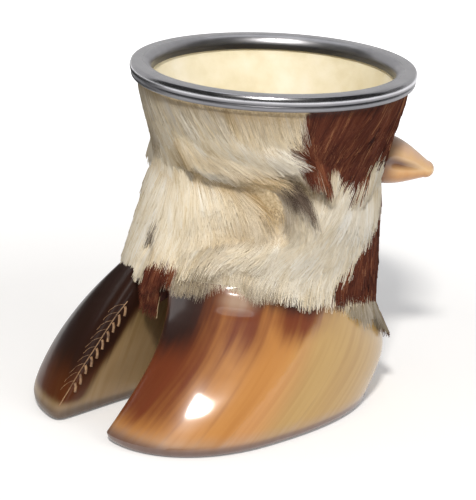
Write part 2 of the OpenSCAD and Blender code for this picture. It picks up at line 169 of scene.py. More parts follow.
def per_mm(size):
    """A pattern's scale, in repeats a metre, from its real size."""
    return 1 / (size * MM)


def mottled(add, size, detail, *colours):
    """A cloudy pattern of a real size, and its colours by each of these sets of stops."""
    place = add("ShaderNodeTexCoord").outputs["Object"]
    cloud = add("ShaderNodeTexNoise", {"Vector": place, "Scale": per_mm(size), "Detail": detail})
    return cloud, *(add("ShaderNodeValToRGB", {"Fac": cloud}, stops=stops) for stops in colours)


def new_tree(name, sizes, **others):
    """A tree of geometry nodes, the function that adds a node to it, and its inputs: a geometry, these sizes
    and others by kind."""
    tree = bpy.data.node_groups.new(name, "GeometryNodeTree")
    kinds = {"Geometry": "Geometry", **dict.fromkeys(sizes, "Float"), **others}
    for label, kind in kinds.items():
        tree.interface.new_socket(label, in_out="INPUT", socket_type=f"NodeSocket{kind}")
    tree.interface.new_socket("Geometry", in_out="OUTPUT", socket_type="NodeSocketGeometry")
    add = partial(put, tree)
    return tree, add, add("NodeGroupInput").outputs


# Meshes

SHARP_CORNER, SAME_PLACE = math.radians(40), 0.002


def grid_faces(rows, columns, hoop=False, open_side=False):
    """Quads between rings of points that run up a surface, closed round each ring unless one side is open."""
    row, column = np.meshgrid(
        np.arange(rows if hoop else rows - 1), np.arange(columns - 1 if open_side else columns), indexing="ij"
    )
    above, beside = (row + 1) % rows * columns, (column + 1) % columns
    here = row * columns
    corners = [here + column, here + beside, above + beside, above + column]
    return np.stack(corners, -1).reshape(-1, 4).tolist()


def end_caps(rows, columns):
    """The faces that close the first and the last ring."""
    return [list(range(columns))[::-1], list(range((rows - 1) * columns, rows * columns))]


def mesh_object(name, points, faces, values=None):
    """An object of this mesh, its points in millimetres from the cup's axis, with values on its points."""
    mesh = bpy.data.meshes.new(name)
    mesh.from_pydata(((np.reshape(points, (-1, 3)) + CUP_AT) * MM).tolist(), [], faces)
    for key, value in (values or {}).items():
        value = np.asarray(value, float)
        vector = value.size == 3 * len(mesh.vertices)
        layer = mesh.attributes.new(key, "FLOAT_VECTOR" if vector else "FLOAT", "POINT")
        layer.data.foreach_set("vector" if vector else "value", value.ravel().astype(np.float32))
    made = bpy.data.objects.new(name, mesh)
    bpy.context.scene.collection.objects.link(made)
    return made


def finish_mesh(piece, material):
    """Merges doubles, turns every face outwards, smooths all but sharp corners and sets the material."""
    shape = bmesh.new()
    shape.from_mesh(piece.data)
    bmesh.ops.remove_doubles(shape, verts=shape.verts, dist=SAME_PLACE * MM)
    bmesh.ops.recalc_face_normals(shape, faces=shape.faces)
    for face in shape.faces:
        face.smooth = True
    for edge in shape.edges:
        edge.smooth = edge.calc_face_angle(0) < SHARP_CORNER
    shape.to_mesh(piece.data)
    shape.free()
    piece.data.materials.clear()
    piece.data.materials.append(material)
    return piece


def keep(piece, slot, *nodes):
    """The piece rides on the body and stands for these solids. The slot is not used."""
    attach(piece, BODY)
    if nodes:
        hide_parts(*nodes)


def grid_normals(grid, side=1):
    """Outward unit normals of a grid of points whose rings are closed."""
    around = np.roll(grid, -1, 1) - np.roll(grid, 1, 1)
    normal = np.cross(around, np.gradient(grid, axis=0)) * side
    return normal / np.maximum(np.linalg.norm(normal, axis=-1, keepdims=True), 1e-9)


def spun(name, outline, sides, material, values=None):
    """A closed outline of radii and heights turned round the cup's axis, with values along the outline."""
    angle = np.linspace(0, 2 * np.pi, sides, endpoint=False)
    r, z = outline.T
    x, y, height = np.outer(r, np.cos(angle)), np.outer(r, np.sin(angle)), np.outer(z, np.ones(sides))
    points = np.stack([x, y, height], -1)
    spread = {key: np.repeat(value, sides) for key, value in (values or {}).items()}
    return finish_mesh(mesh_object(name, points, grid_faces(len(r), sides, hoop=True), spread), material)


# The rim and the gourd

# The upper bead's arcs, as half widths and heights: its nose, its upper corner and the roll into the mouth
NOSE, CORNER, ROLL = (2.4, 2.4), (0.8, 0.8), (2.6, 3.8)
NOSE_END, CORNER_END, ROLL_START = (math.radians(a) for a in (36, 84, 96))
RIM_SIDES, LINER_SIDES = 256, 144
# Where the rim turns dull, by distance out from the mouth, and where painted shade darkens it: beside the
# mouth, by that distance and the drop from the top, and under the upper bead, by height above the gourd's lip
DULL_IN, DULL_SHARE = (3.4, 1.8), 0.8
PAINTED_SHADE_IN, PAINTED_SHADE_DROP, UNDER_BEAD, PAINTED_SHADE_UNDER = 0.6, (2.0, 3.2), (1.0, 0.3), 0.6


def arc(start, sizes, low, high, steps):
    """Points on an oval arc from a start, between two directions of its outward normal."""
    a = np.linspace(low, high, steps)
    a = np.arctan2(sizes[1] * np.sin(a), sizes[0] * np.cos(a))
    out = np.stack([sizes[0] * np.cos(a), sizes[1] * np.sin(a)], -1)
    return start + out - out[0]


def upper_bead(steps):
    """The upper bead's section from the groove over the top to the mouth. Its crown takes the width left."""
    turns = (0, NOSE_END, CORNER_END, ROLL_START, math.pi)
    ends = ((NOSE, 0, NOSE_END), (CORNER, NOSE_END, CORNER_END), (ROLL, ROLL_START, math.pi))
    used = sum(-arc(0, *end, 2)[1, 0] for end in ends)
    crown = ((RIM_W - used) / (math.cos(CORNER_END) - math.cos(ROLL_START)),) * 2
    line = np.array([[RIM_R, 0.0]])
    for sizes, low, high in zip((NOSE, CORNER, crown, ROLL), turns, turns[1:]):
        line = np.concatenate([line, arc(line[-1], sizes, low, high, steps)[1:]])
    line[:, 1] += CUP_H - line[:, 1].max()
    below = math.asin((LIP_Z - line[0, 1]) / NOSE[1])
    return np.concatenate([arc(line[0], NOSE, 0, below, steps)[:0:-1], line])


def rim_outline(steps=10):
    a = np.linspace(np.pi / 2, -np.pi / 2, 2 * steps)
    hem = np.stack([GROOVE_R + HEM_BEAD_OUT * np.cos(a), HEM_BEAD_Z + HEM_BEAD_H / 2 * np.sin(a)], -1)
    a = np.linspace(0, np.pi, 2 * steps)
    channel_r = mix(CHANNEL_OUT_R, CHANNEL_IN_R, (1 - np.cos(a)) / 2)
    channel = np.stack([channel_r, BEAD_MID_Z + (BEAD_H / 2 - SHEET_T) * np.sin(a)], -1)
    ends = [[CHANNEL_IN_R, SKIRT_Z], [MOUTH_R, SKIRT_Z]]
    return np.concatenate([upper_bead(steps)[::-1], hem, [[CHANNEL_OUT_R, RIM_BOTTOM_Z]], channel, ends])


def rim_values(line):
    """Where the rim is dull, and where painted shade darkens it: under its upper bead and inside the mouth.
    """
    r, z = line.T
    below = (r > CHANNEL_OUT_R) * smooth_step(*(LIP_Z + up for up in UNDER_BEAD), z)
    inside = (r < MOUTH_R + PAINTED_SHADE_IN) * smooth_step(*(CUP_H - drop for drop in PAINTED_SHADE_DROP), z)
    rolled = DULL_SHARE * smooth_step(*(MOUTH_R + reach for reach in DULL_IN), r)
    return {"painted_shade": np.maximum(PAINTED_SHADE_UNDER * below, inside), "dull": np.maximum(below, rolled)}


def liner_outline(steps=60):
    floor_z = seat_z(0, 0) + LINER_LIFT
    foot_z, bottom_z = floor_z + LINER_ROUND_H, floor_z - LINER_FLOOR

    def rise(z):
        return share((z - foot_z) / (SKIRT_Z - FIT - foot_z)) ** LINER_FLARE

    def dome(r, h, z):
        return r * np.sqrt(share(1 - ((foot_z - z) / h) ** 2))

    def heights(low):
        return mix(low, LIP_Z, np.linspace(0, 1, steps) ** 2)

    z, low = heights(floor_z), heights(bottom_z)[::-1]
    inside = np.where(z > foot_z, mix(LINER_FOOT_R, LIP_IN_R, rise(z)), dome(LINER_FOOT_R, LINER_ROUND_H, z))
    wall = mix(LINER_FOOT_R, LIP_IN_R, rise(low)) + mix(LINER_WALL, LIP_WALL, rise(low))
    round_foot = dome(LINER_FOOT_R + LINER_WALL, LINER_ROUND_H + LINER_FLOOR, low)
    outside = np.where(low > foot_z, wall, round_foot)
    return np.concatenate([np.stack([inside, z], -1), np.stack([outside, low], -1)])


def satin_rim_metal():
    """Aluminium, spun and rubbed to a satin shine, with a few dull smears, and painted shade in the mouth and
    under the bead.
    """
    made, add = new_material("satin_spun_aluminium")
    smear, tint = mottled(add, 9, 3.0, ((0.3, "#aeaeb3"), (0.75, "#c6c6ca")))
    rough = add("ShaderNodeMapRange", {"Value": smear, "To Min": 0.2, "To Max": 0.29})
    dull, painted_shade = (
        add("ShaderNodeAttribute", attribute_name=name).outputs["Fac"] for name in ("dull", "painted_shade")
    )
    rough = add("ShaderNodeMath", (dull, 0.16, rough), operation="MULTIPLY_ADD")
    # Painted shade: the metal is tinted darker inside the mouth and under the upper bead
    tint = add("ShaderNodeMix", {"Factor": painted_shade, "A": tint, "B": "#55555a"}, data_type="RGBA")
    shade(add, {"Base Color": tint, "Metallic": 1.0, "Roughness": rough})
    return made


def dry_gourd():
    """The scraped inside of a dry gourd: pale cream, matt, faintly mottled, with fine pits."""
    made, add = new_material("dry_gourd")
    _, tint = mottled(add, 11, 5.0, ((0.3, "#ddd0ac"), (0.5, "#e9dfc2"), (0.72, "#f1e9d4")))
    pits = mottled(add, 1.1, 4.0)[0]
    bump = add("ShaderNodeBump", {"Strength": 0.25, "Distance": 0.2 * MM, "Height": pits})
    shade(add, {"Base Color": tint, "Roughness": 0.62, "Normal": bump})
    return made


rim_line = rim_outline()
keep(spun("spun_rim", rim_line, RIM_SIDES, satin_rim_metal(), rim_values(rim_line)), "rim_metal", "rim")
keep(spun("gourd_liner", liner_outline(), LINER_SIDES, dry_gourd()), "gourd", "liner")


# The hide: its surface, folds, patches and lie of the hair, all by angle and height

MM_PER_DEGREE = math.radians(WAIST_R)


def hide_radius(z):
    above = mix(WAIST_R, COLLAR_R, share((z - WAIST_Z) / (SKIRT_Z - WAIST_Z)) ** FLARE)
    below = mix(WAIST_R, CORONET_R, share((WAIST_Z - z) / (WAIST_Z - SEAT_HIGH_Z)) ** SPREAD)
    return np.where(z > WAIST_Z, above, below)


def hide_lean(z):
    return -FOOT_AHEAD * share((LEAN_Z - z) / (LEAN_Z - SEAT_HIGH_Z)) ** LEAN


def hide_low_z(angle, inset=0.0):
    a, r = np.radians(angle), CORONET_R - inset
    return seat_z(r * np.cos(a), r * np.sin(a) - FOOT_AHEAD) + FIT


def angle_apart(angle, other):
    return (angle - other + 180) % 360 - 180


def apart(angle, other):
    """Signed distance between two angles along the hide."""
    return angle_apart(angle, other) * MM_PER_DEGREE


def line_distance(angle, z, line):
    """Distance to a line drawn on the hide, the side on which a point lies, and how far from the ends."""
    best, above, along = (np.full(np.shape(angle), value) for value in (1e9, 0.0, 0.0))
    length = 0.0
    for (a0, z0), (a1, z1) in zip(line, line[1:]):
        run, rise = (a1 - a0) * MM_PER_DEGREE, z1 - z0
        x, y = apart(angle, a0), z - z0
        t = share((x * run + y * rise) / (run * run + rise * rise))
        distance = np.hypot(x - t * run, y - t * rise)
        nearer = distance < best
        above = np.where(nearer, np.sign(run * y - rise * x), above)
        along = np.where(nearer, length + t * math.hypot(run, rise), along)
        best = np.where(nearer, distance, best)
        length += math.hypot(run, rise)
    return best, above, np.minimum(along, length - along)


# The hide's folds: points by angle and by drop below the rim's top, and the fold's strength
FOLDS = (
    (((-99, 19.5), (-88, 25), (-78, 29), (-54, 30), (-45, 32.5), (-37, 37.5), (-31, 42.5), (-25, 48)), 1.0),
    (((-54, 21), (-45, 23.5), (-36, 26), (-26, 28.5), (-15, 31.5), (-8, 37)), 1.0),
    (((0, 35), (18, 36), (38, 33)), 0.4),
    (((146, 33), (170, 31), (200, 35), (236, 31)), 0.9),
    (((148, 19), (180, 23), (216, 20)), 0.6),
    (((105, 49), (150, 54), (182, 50)), 0.6),
)
# Softer ridges and dents, as a line by angle and height, how far it stands out and its half width
RIDGES = (
    (((-66, 57.5), (-49, 59.5), (-32, 61)), 0.9, 2.2),
    (((-51, 66), (-46, 64)), -0.8, 4.0),
    (((-75, 70), (-70, 62)), 0.7, 4.0),
    (((-95, 60), (-96, 56)), -0.7, 1.6),
    (((170, 64), (190, 66)), -0.8, 5.0),
)
DEEPEST = 1.3


def fold_lines(angle, z):
    """Each fold's distance above its line, and its strength, which fades to the fold's ends."""
    for line, strength in FOLDS:
        distance, above, left = line_distance(angle, z, [(a, CUP_H - drop) for a, drop in line])
        yield distance * above, strength * smooth_step(0, FOLD_FADE, left)


def hide_relief(angle, z):
    """How far the hide stands out of its plain form."""
    out = np.zeros(np.shape(angle))
    for up, strength in fold_lines(angle, z):
        swell = FOLD_SWELL * spot(up, SWELL_RISE, SWELL_W)
        out = out + strength * (swell - FOLD_D * bell(up / FOLD_W))
    for line, height, width in RIDGES:
        out = out + height * bell(line_distance(angle, z, line)[0] / width)
    edge = smooth_step(0, EDGE_FADE, z - hide_low_z(angle)) * smooth_step(0, EDGE_FADE, RIM_BOTTOM_Z - z)
    return np.maximum(out, -DEEPEST) * edge


def hide_point(angle, z, out=0.0):
    a, r = np.radians(angle), hide_radius(z) + out
    return np.stack([r * np.cos(a), hide_lean(z) + r * np.sin(a), z], -1)


def hide_grid(angles, rows, inset=0.0, top_z=LIP_Z, relief=True):
    """Rings of the hide from the claws up, with the angle and height of each point."""
    angle, t = np.meshgrid(angles, rows)
    z = mix(hide_low_z(angle, inset), top_z, t)
    return hide_point(angle, z, (hide_relief(angle, z) if relief else 0) - inset), angle, z


# Brown patches, as outlines by angle and height
BROWN_PATCHES = (
    ((-22, 110), (-24.5, 99), (-27.5, 94), (-29.5, 90), (-30.5, 87), (-29, 84.6), (-24, 83.2), (-17, 81.4),
     (-9, 80.2), (-1, 79), (6, 77.6), (13, 75.8), (18, 78), (17, 82), (24, 85), (40, 82), (62, 86), (86, 92),
     (92, 110)),
    ((52, 67), (40, 66), (30, 62), (19, 57.5), (8, 51.8), (-1, 47.6), (3, 46), (9, 44.4), (15, 42.4),
     (23, 40.4), (34, 37.6), (42, 33.4), (50, 20), (92, 18), (108, 34), (100, 52), (74, 62)),
    ((-102, 42), (-100, 46), (-95, 48.8), (-87, 51), (-77, 52.5), (-74, 49.5), (-77, 44.5), (-88, 42.5)),
    ((136, 112), (150, 96), (176, 90), (204, 93), (222, 112)),
    ((150, 52), (168, 62), (192, 64), (206, 54), (196, 42), (168, 20), (148, 24)),
)
# Soft marks in the coat: a middle by angle and height, half sizes in degrees and millimetres, and a strength.
# The grey marks are grey hair and painted shade along the left edge, the white marks white hair and painted
# light on the rolls and in a crease, and the ochre marks yellow hair and painted shade in hollows and under
# the rim.
GREY_AND_SHADE_MARKS = (
    (-25, 77.5, 9, 4, 1.3), (-18, 74.5, 6, 3.6, 1.1), (-31, 67.5, 6, 4, 1.0), (-95.5, 57.5, 3.4, 3.2, 1.6),
    (-114, 88, 10, 6, 0.45), (188, 78, 8, 4, 0.6),
)
WHITE_AND_LIGHT_MARKS = (
    (-96, 70, 20, 12, 0.6), (-68, 70, 10, 7, 0.4), (-16, 57, 34, 7, 0.7), (8, 66, 22, 9, 1.1),
    (-45, 88, 13, 4, 0.5), (-66, 80.8, 12, 3, 0.9), (-31, 85.5, 7, 3, 1.0),
)
OCHRE_AND_SHADE_MARKS = (
    (-46, 79.5, 15, 3.4, 0.9), (-66, 82, 9, 3, 0.5), (-87, 84, 7, 3, 0.9), (-91, 53.5, 6, 2.5, 0.6),
    (-53, 99, 7, 4, 0.5), (-60, 59.5, 8, 3.5, 0.6), (-52, 66, 10, 5.5, 0.6), (-116, 84, 11, 8, 0.6),
    (-40, 73, 7, 4, 0.5), (160, 72, 20, 5, 0.5), (200, 60, 16, 6, 0.4),
)
RAGGED, RAGGED_W, RAGGED_COARSE, RAGGED_FINE = 1.1, 2.0, 2.2, 0.9
# Yellow hair and painted shade along the folds: its strength and half width, and how much of it shows
FOLD_STAIN_AND_SHADE, FOLD_STAIN_AND_SHADE_W, STAIN_AND_SHADE_SHARE = 0.55, 4.0, 0.85


def wander(angle, z, size, seed):
    """A slow irregular wave over the hide, between about -1 and 1."""
    x, y = np.radians(angle) * WAIST_R / size, z / size
    parts = ((1.0, 0.3, 1.3, 0.0), (-0.6, 1.1, 0.9, 2.1), (1.7, -0.8, 0.6, 4.4), (0.4, 2.1, 0.5, 1.2))
    return sum(w * np.sin(kx * x + ky * y + shift + seed) for kx, ky, w, shift in parts) / 2


def inside_outline(angle, z, outline):
    """Signed distance to an outline on the hide, above zero inside."""
    distance = line_distance(angle, z, outline + outline[:1])[0]
    first = outline[0][0]
    x = angle_apart(angle, first)
    inside = np.zeros(np.shape(angle), bool)
    for (a0, z0), (a1, z1) in zip(outline, outline[1:] + outline[:1]):
        a0, a1 = angle_apart(a0, first), angle_apart(a1, first)
        crosses = (z0 > z) != (z1 > z)
        inside ^= crosses & (x < (a1 - a0) * (z - z0) / (z1 - z0 + 1e-9) + a0)
    return np.where(inside, distance, -distance)


def brown_share(angle, z):
    """How brown the hair is, about 0 or 1 with ragged edges between."""
    ragged = wander(angle, z, RAGGED_COARSE, 0.7) + 0.5 * wander(angle, z, RAGGED_FINE, 3.1)
    depth = np.max([inside_outline(angle, z, outline) for outline in BROWN_PATCHES], axis=0) + RAGGED * ragged
    return smooth_step(-RAGGED_W / 2, RAGGED_W / 2, depth)


def marks_share(angle, z, marks):
    """How strong soft marks are at a point, from 0 to 1."""
    spots = [power * bell(angle_apart(angle, a) / w) * spot(z, at_z, h) for a, at_z, w, h, power in marks]
    return share(np.sum(spots, axis=0))


def stain_and_shade_share(angle, z):
    """How yellow the hair is, with painted shade, most of all along the folds and in hollows."""
    folded = sum(strength * spot(up, 1, FOLD_STAIN_AND_SHADE_W) for up, strength in fold_lines(angle, z))
    return share(FOLD_STAIN_AND_SHADE * folded + marks_share(angle, z, OCHRE_AND_SHADE_MARKS))


# How the hair lies, as an angle, a height and its turn away from straight down, towards larger angles
HAIR_GUIDES = (
    (-110, 96, 20), (-92, 95, 28), (-70, 95, 26), (-48, 94, 14), (-32, 98, 15), (-86, 84, 42), (-64, 84, 62),
    (-50, 84, 60), (-32, 86, 62), (-46, 78, 66), (-38, 77, 66), (-22, 75, 42), (-14, 95, -24), (4, 92, -40),
    (14, 84, -26), (-2, 82, -20), (30, 90, -30), (-80, 68, 16), (-66, 70, 36), (-53, 65, 40), (-36, 66, 24),
    (-12, 70, -36), (0, 64, -44), (-15, 57, -58), (-32, 56, -62), (-46, 52, -24), (-48, 58, -70),
    (-60, 58, -58), (-40, 59, -70), (-62, 53, -18), (-20, 49, -16), (6, 57, -32), (15, 67, -20),
    (20, 46, -24), (-90, 55, -8), (-104, 70, -14), (-70, 50, 0), (40, 60, -14), (95, 92, 24), (130, 88, -18),
    (170, 80, 26), (205, 70, -22), (160, 60, 30), (120, 62, -16), (220, 92, 20),
)
GUIDE_REACH, GUIDE_REST, STRAIGHT_H = 5.0, 24.0, 11.0
HEM_REACH, CURL_STEP, TIGHTEST_CURL = 6.0, 5.0, 60.0
# How far the hair of the lower edge stands out, at the back and in front, and where it also does so over
# the near heel: a share of the way from one to the other, an angle and a half width
LEAST_OUT, MOST_OUT, HEEL_OUT, HEEL_ANGLE, HEEL_HALF = 0.12, 0.62, 0.8, 46, 24


def hair_turn(angle, z):
    """The hair's turn away from straight down, in radians, drawn from the guides nearby."""
    total = np.full(np.shape(angle), GUIDE_REST ** -4.0)
    turn = np.zeros(np.shape(angle))
    for at_angle, at_z, degrees in HAIR_GUIDES:
        near = (apart(angle, at_angle) ** 2 + (z - at_z) ** 2 + GUIDE_REACH ** 2) ** -2.0
        total, turn = total + near, turn + near * math.radians(degrees)
    return turn / total * smooth_step(0, STRAIGHT_H, z - hide_low_z(angle))


def hair_ahead(angle, z, turn, distance):
    """The place some way ahead along a hair."""
    return angle + distance * np.sin(turn) / MM_PER_DEGREE, z - distance * np.cos(turn)


def hair_lie(grid, angle, z):
    """The direction of the hair along the hide, which follows the horn's slope near the lower edge, and how
    the hair bends sideways, per metre."""
    normal = grid_normals(grid)
    a = np.radians(angle)
    around = np.stack([-np.sin(a), np.cos(a), np.zeros_like(a)], -1)
    down = np.cross(around, normal)
    down = down * -np.sign(down[..., 2:])
    turn = hair_turn(angle, z)
    curl = (hair_turn(*hair_ahead(angle, z, turn, CURL_STEP)) - turn) / (CURL_STEP * MM)
    turn, curl = turn[..., None], np.clip(curl, -TIGHTEST_CURL, TIGHTEST_CURL)[..., None]
    hem = 1 - smooth_step(0, HEM_REACH, z - hide_low_z(angle))
    out = np.maximum(-np.sin(a), HEEL_OUT * bell(angle_apart(angle, HEEL_ANGLE) / HEEL_HALF))
    tilt = (hem * mix(LEAST_OUT, MOST_OUT, share(out)))[..., None]
    lie = np.cos(turn) * down + np.sin(turn) * around + tilt * normal
    sweep = curl * (np.cos(turn) * around - np.sin(turn) * down)
    return lie / np.linalg.norm(lie, axis=-1, keepdims=True), sweep


def rawhide():
    """Skin under the hair: the colour of the hair above it, darker, dull and finely pored."""
    made, add = new_material("hair_on_hide")
    tones = ((0.3, "#a58d68"), (0.7, "#d2bf9c")), ((0.3, "#2a110b"), (0.7, "#4a2216"))
    grain, pale, dark = mottled(add, 0.9, 3.0, *tones)
    brown = add("ShaderNodeAttribute", attribute_name="brown").outputs["Fac"]
    tint = add("ShaderNodeMix", {"Factor": brown, "A": pale, "B": dark}, data_type="RGBA")
    bump = add("ShaderNodeBump", {"Strength": 0.3, "Distance": 0.2 * MM, "Height": grain})
    shade(add, {"Base Color": tint, "Roughness": 0.75, "Normal": bump})
    return made


# Each colour of the hair, from its darkest hairs to its lightest
HAIR_TONES = {
    "straw": ((0.0, "#d2bb8f"), (0.35, "#ead8b5"), (0.65, "#f5e8ce"), (1.0, "#fcf5e6")),
    "white": ((0.0, "#e4d6ba"), (0.35, "#f3e9d5"), (0.65, "#faf4e6"), (1.0, "#fefbf4")),
    "stain_and_shade": ((0.0, "#a88750"), (0.5, "#caac78"), (1.0, "#e3cca2")),
    "grey": ((0.0, "#382b25"), (0.5, "#5f4f44"), (1.0, "#94826f")),
    "brown": ((0.0, "#3a160d"), (0.35, "#5c2a1b"), (0.65, "#794029"), (1.0, "#b27c56")),
}


def cow_hair():
    """Short cow hair, combed flat: straw to white, yellow and painted shade along the folds, red-brown in the
    patches.
    """
    made, add = new_material("cow_hair")
    value = {
        name: add("ShaderNodeAttribute", attribute_name=name).outputs["Fac"]
        for name in ("brown", "grey", "white", "stain_and_shade", "shade", "along")
    }
    # Each hair is brown or not: its own shade decides on which side of a patch's soft edge it falls
    edge = add("ShaderNodeMapRange", {"Value": value["shade"], "To Min": 0.25, "To Max": 0.75})
    value["brown"] = add("ShaderNodeMath", (value["brown"], edge), operation="GREATER_THAN")
    tones = {
        name: add("ShaderNodeValToRGB", {"Fac": value["shade"]}, stops=stops)
        for name, stops in HAIR_TONES.items()
    }
    tint = tones.pop("straw")
    for name, tone in tones.items():
        tint = add("ShaderNodeMix", {"Factor": value[name], "A": tint, "B": tone}, data_type="RGBA")
    # Painted shade: each hair darkens towards its root, deep in the coat
    root = add("ShaderNodeValToRGB", {"Fac": value["along"]}, stops=((0.0, "#d8cfc2"), (0.35, "#ffffff")))
    darker = {"Factor": 1.0, "A": tint, "B": root}
    tint = add("ShaderNodeMix", darker, data_type="RGBA", blend_type="MULTIPLY")
    shade(add, {"Base Color": tint, "Roughness": 0.6, "Specular IOR Level": 0.25})
    return made


# One hair's sizes and how close the hairs stand. Hair is drawn thicker than it is, so that it shows.
HAIR_L, HAIR_T, HAIR_LIFT, WISP_SIZE, WAVE_SIZE = 10.5, 0.142, 0.042, 3.0, 6.0
HAIR_SIZES = {
    "Hairs per square metre": 7.3e6, "Length": HAIR_L * MM, "Rise": HAIR_L * HAIR_LIFT * MM,
    "Half width": 0.58 * HAIR_T * MM, "Stray": 0.08, "Wave": 1.2 * MM, "Waves per metre": per_mm(WAVE_SIZE),
    "Wisp": 0.45, "Wisps per metre": per_mm(WISP_SIZE),
}
# What differs from hair to hair, from least to most
HAIR_CHANCES = {
    "stray": (-1.0, 1.0), "pitch": (-0.02, 0.02), "length": (0.7, 1.2), "shade": (0.33, 0.67),
    "height": (0.2, 1.8),
}
FLAT_SIDE_UP, HAIR_FLATNESS, HAIR_BEND, HAIR_THINNING, WISP_SHADE = math.pi / 2, 0.35, 0.15, 0.8, 1.7


def single_hair(add, given):
    """A hair that leaves the skin and then lies along it, thinning to its tip, with its flat side up. It
    stores the way along it and the place round it."""
    middle = add("ShaderNodeMath", (given["Length"], HAIR_BEND), operation="MULTIPLY")
    middle, end = (
        add("ShaderNodeCombineXYZ", {"X": x, "Z": given["Rise"]}) for x in (middle, given["Length"])
    )
    points = {"Resolution": 4, "Start": (0, 0, 0), "Middle": middle, "End": end}
    line = add("GeometryNodeCurveQuadraticBezier", points)
    line = add("GeometryNodeResampleCurve", {"Curve": line, "Count": 3})
    section = add("GeometryNodeCurvePrimitiveCircle", {"Resolution": 3, "Radius": given["Half width"]})
    flat = {"Rotation": (0, 0, FLAT_SIDE_UP), "Scale": (1, HAIR_FLATNESS, 1)}
    section = add("GeometryNodeTransform", {"Geometry": section, **flat})
    along = add("GeometryNodeSplineParameter").outputs["Factor"]
    side = add("ShaderNodeMath", (add("GeometryNodeInputIndex"), 2.0), operation="DIVIDE")
    line, section = (
        add(
            "GeometryNodeStoreNamedAttribute", {"Geometry": part, "Name": name, "Value": value},
            data_type="FLOAT", domain="POINT",
        )
        for part, name, value in ((line, "along", along), (section, "side", side))
    )
    thinning = add("ShaderNodeMath", (along, -HAIR_THINNING, 1.0), operation="MULTIPLY_ADD")
    line = add("GeometryNodeSetCurveRadius", {"Curve": line, "Radius": thinning})
    line = add("GeometryNodeSetCurveNormal", {"Curve": line}, mode="Z_UP")
    return add("GeometryNodeCurveToMesh", {"Curve": line, "Profile Curve": section, "Fill Caps": True})


def hair_cells(add, count, value):
    """A place on the coat's map for each corner of each hair, which has a cell of its own there."""
    columns = add("ShaderNodeMath", (count,), operation="SQRT")
    columns = add("ShaderNodeMath", (columns, 2.0), operation="MULTIPLY")
    columns = add("ShaderNodeMath", (columns,), operation="CEIL")
    lines = add("ShaderNodeMath", (count, columns), operation="DIVIDE")
    lines = add("ShaderNodeMath", (lines,), operation="CEIL")
    column = add("ShaderNodeMath", (value["cell"], columns), operation="MODULO")
    line = add("ShaderNodeMath", (value["cell"], columns), operation="DIVIDE")
    line = add("ShaderNodeMath", (line,), operation="FLOOR")
    places = []
    for cell, inner, width, edge, cells in (
        (column, value["side"], 0.7, 0.15, columns), (line, value["along"], 0.8, 0.1, lines),
    ):
        inner = add("ShaderNodeMath", (inner, width, edge), operation="MULTIPLY_ADD")
        place = add("ShaderNodeMath", (cell, inner), operation="ADD")
        places.append(add("ShaderNodeMath", (place, cells), operation="DIVIDE"))
    return add("ShaderNodeCombineXYZ", places)


